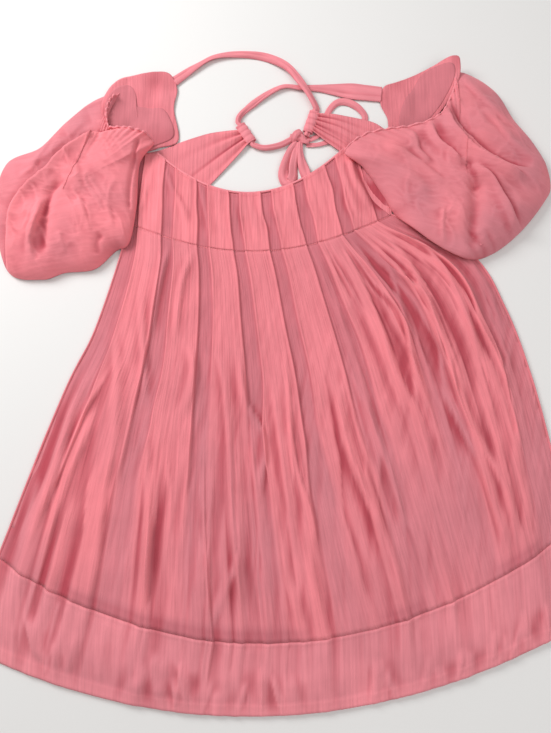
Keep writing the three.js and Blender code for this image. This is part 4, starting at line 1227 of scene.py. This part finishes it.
def add_stage(looks):
    """A pale floor, a broad soft key light, a wide fill and the camera above the skirt, tilted to the neckline."""
    scene = bpy.context.scene
    mesh = bpy.data.meshes.new("floor")
    corners = [(-1, -1), (1, -1), (1, 1), (-1, 1)]
    mesh.from_pydata([(x * FLOOR_HALF, y * FLOOR_HALF, 0) for x, y in corners], [], [(0, 1, 2, 3)])
    material = bpy.data.materials.new("pale_floor")
    material.use_nodes = True
    shader = material.node_tree.nodes["Principled BSDF"]
    shader.inputs["Base Color"].default_value = (*looks.floor, 1.0)
    shader.inputs["Roughness"].default_value = 0.8
    mesh.materials.append(material)
    floor = bpy.data.objects.new("floor", mesh)
    scene.collection.objects.link(floor)

    for name, lamp in LAMPS.items():
        light = bpy.data.lights.new(name, "AREA")
        light.energy, light.size = looks.key_power * lamp["share"], lamp["size"]
        holder = bpy.data.objects.new(name, light)
        holder.location = lamp["place"]
        holder.rotation_mode = "QUATERNION"
        holder.rotation_quaternion = Vector(-np.array(lamp["place"]) + [0.0, 0.05, 0.0]).to_track_quat("-Z", "Y")
        scene.collection.objects.link(holder)
    world = bpy.data.worlds.new("studio")
    world.use_nodes = True
    background = world.node_tree.nodes["Background"]
    background.inputs["Color"].default_value = (1.0, 0.985, 0.97, 1.0)
    background.inputs["Strength"].default_value = SKY_LIGHT
    scene.world = world
    scene.view_settings.view_transform = "Standard"

    camera = bpy.data.cameras.new("camera")
    camera.lens, camera.sensor_width, camera.sensor_fit = LENS, FILM_WIDTH, "AUTO"
    camera.clip_start, camera.clip_end = 0.01, 50.0
    eye = bpy.data.objects.new("camera", camera)
    eye.location = to_frame(CAMERA_PLACE).tolist()
    eye.rotation_euler = (math.radians(CAMERA_TILT), 0.0, 0.0)
    scene.collection.objects.link(eye)
    scene.camera = eye


# ---- add-on ----

class DressSizes(bpy.types.PropertyGroup):
    """Sizes that set how the cloth lies."""
    pleat_rise: FloatProperty(name="Pleat rise", description="Height of a pleat's doubled band",
                              default=0.0021, unit="LENGTH", subtype="DISTANCE")
    fold_rise: FloatProperty(name="Fold rise", description="Height of the skirt's soft folds",
                             default=0.003, unit="LENGTH", subtype="DISTANCE")
    tie_width: FloatProperty(name="Tie width", description="Width of the sewn ties",
                             default=0.0126, unit="LENGTH", subtype="DISTANCE")
    puff_height: FloatProperty(name="Puff height", description="Height of the puff sleeves",
                               default=CAD_HIGH[2] - CAD_LOW[2], unit="LENGTH", subtype="DISTANCE")


class DressLooks(bpy.types.PropertyGroup):
    """Colours of the cloth and the stage, and the light."""
    single: FloatVectorProperty(name="Single cloth", description="Colour of one layer of gauze",
                                default=(0.87, 0.525, 0.565), size=3, subtype="COLOR_GAMMA")
    double: FloatVectorProperty(name="Doubled cloth", description="Colour where the gauze is doubled",
                                default=(0.985, 0.555, 0.59), size=3, subtype="COLOR_GAMMA")
    # colour of the painted shade in folds and hollows
    fold_shade: FloatVectorProperty(name="Inside folds", description="Colour deep in the folds",
                              default=(0.74, 0.31, 0.36), size=3, subtype="COLOR_GAMMA")
    floor: FloatVectorProperty(name="Floor", description="Colour of the floor",
                               default=(0.80, 0.79, 0.78), size=3, subtype="COLOR")
    key_power: FloatProperty(name="Key light", description="Power of the key light", default=28.5, unit="POWER")


class DRESS_OT_materials(bpy.types.Operator):
    """Make the gauze, lining, band and thread materials"""
    bl_idname = "dress.materials"
    bl_label = "Materials"

    def execute(self, context):
        add_materials(context.scene.dress_looks)
        return {"FINISHED"}


class DRESS_OT_front(bpy.types.Operator):
    """Make the pleated front: bodice, skirt, hem band and what lies behind them"""
    bl_idname = "dress.front"
    bl_label = "Front panels"

    def execute(self, context):
        add_front(context.scene.dress_sizes)
        return {"FINISHED"}


class DRESS_OT_back(bpy.types.Operator):
    """Make the back of the skirt and hem band"""
    bl_idname = "dress.back"
    bl_label = "Back panels"

    def execute(self, context):
        add_back()
        return {"FINISHED"}


class DRESS_OT_seams(bpy.types.Operator):
    """Make the seams, the neckline's binding and the stitches"""
    bl_idname = "dress.seams"
    bl_label = "Seams"

    def execute(self, context):
        add_seams()
        return {"FINISHED"}


class DRESS_OT_wings(bpy.types.Operator):
    """Make the back wings, their casings and the yokes"""
    bl_idname = "dress.wings"
    bl_label = "Wings and yokes"

    def execute(self, context):
        add_wings()
        add_yokes()
        return {"FINISHED"}


class DRESS_OT_ties(bpy.types.Operator):
    """Make the ties and the bow"""
    bl_idname = "dress.ties"
    bl_label = "Ties and bow"

    def execute(self, context):
        add_ties(context.scene.dress_sizes)
        add_bow()
        return {"FINISHED"}


class DRESS_OT_sleeves(bpy.types.Operator):
    """Make the puff sleeves with their neck edges and cuffs"""
    bl_idname = "dress.sleeves"
    bl_label = "Sleeves"

    def execute(self, context):
        for side in SLEEVES:
            add_sleeve(side, context.scene.dress_sizes)
        return {"FINISHED"}


class DRESS_OT_stage(bpy.types.Operator):
    """Make the floor, the lights and the camera"""
    bl_idname = "dress.stage"
    bl_label = "Stage"

    def execute(self, context):
        add_stage(context.scene.dress_looks)
        return {"FINISHED"}


STEPS = (
    DRESS_OT_materials, DRESS_OT_stage, DRESS_OT_seams, DRESS_OT_front, DRESS_OT_back, DRESS_OT_wings,
    DRESS_OT_ties, DRESS_OT_sleeves,
)


class DRESS_PT_sidebar(bpy.types.Panel):
    """Sizes, looks and the steps that make the dress"""
    bl_idname = "DRESS_PT_sidebar"
    bl_label = "Gauze dress"
    bl_space_type = "VIEW_3D"
    bl_region_type = "UI"
    bl_category = "Dress"

    def draw(self, context):
        for group in (context.scene.dress_sizes, context.scene.dress_looks):
            for key in group.bl_rna.properties.keys():
                if key not in {"rna_type", "name"}:
                    self.layout.prop(group, key)
        for step in STEPS:
            self.layout.operator(step.bl_idname)


CLASSES = (DressSizes, DressLooks, *STEPS, DRESS_PT_sidebar)


def register():
    for made in CLASSES:
        bpy.utils.register_class(made)
    bpy.types.Scene.dress_sizes = PointerProperty(type=DressSizes)
    bpy.types.Scene.dress_looks = PointerProperty(type=DressLooks)


def unregister():
    del bpy.types.Scene.dress_looks
    del bpy.types.Scene.dress_sizes
    for made in reversed(CLASSES):
        bpy.utils.unregister_class(made)


def main():
    register()
    for step in STEPS:
        group, name = step.bl_idname.split(".")
        getattr(getattr(bpy.ops, group), name)()


if __name__ == "__main__":
    main()
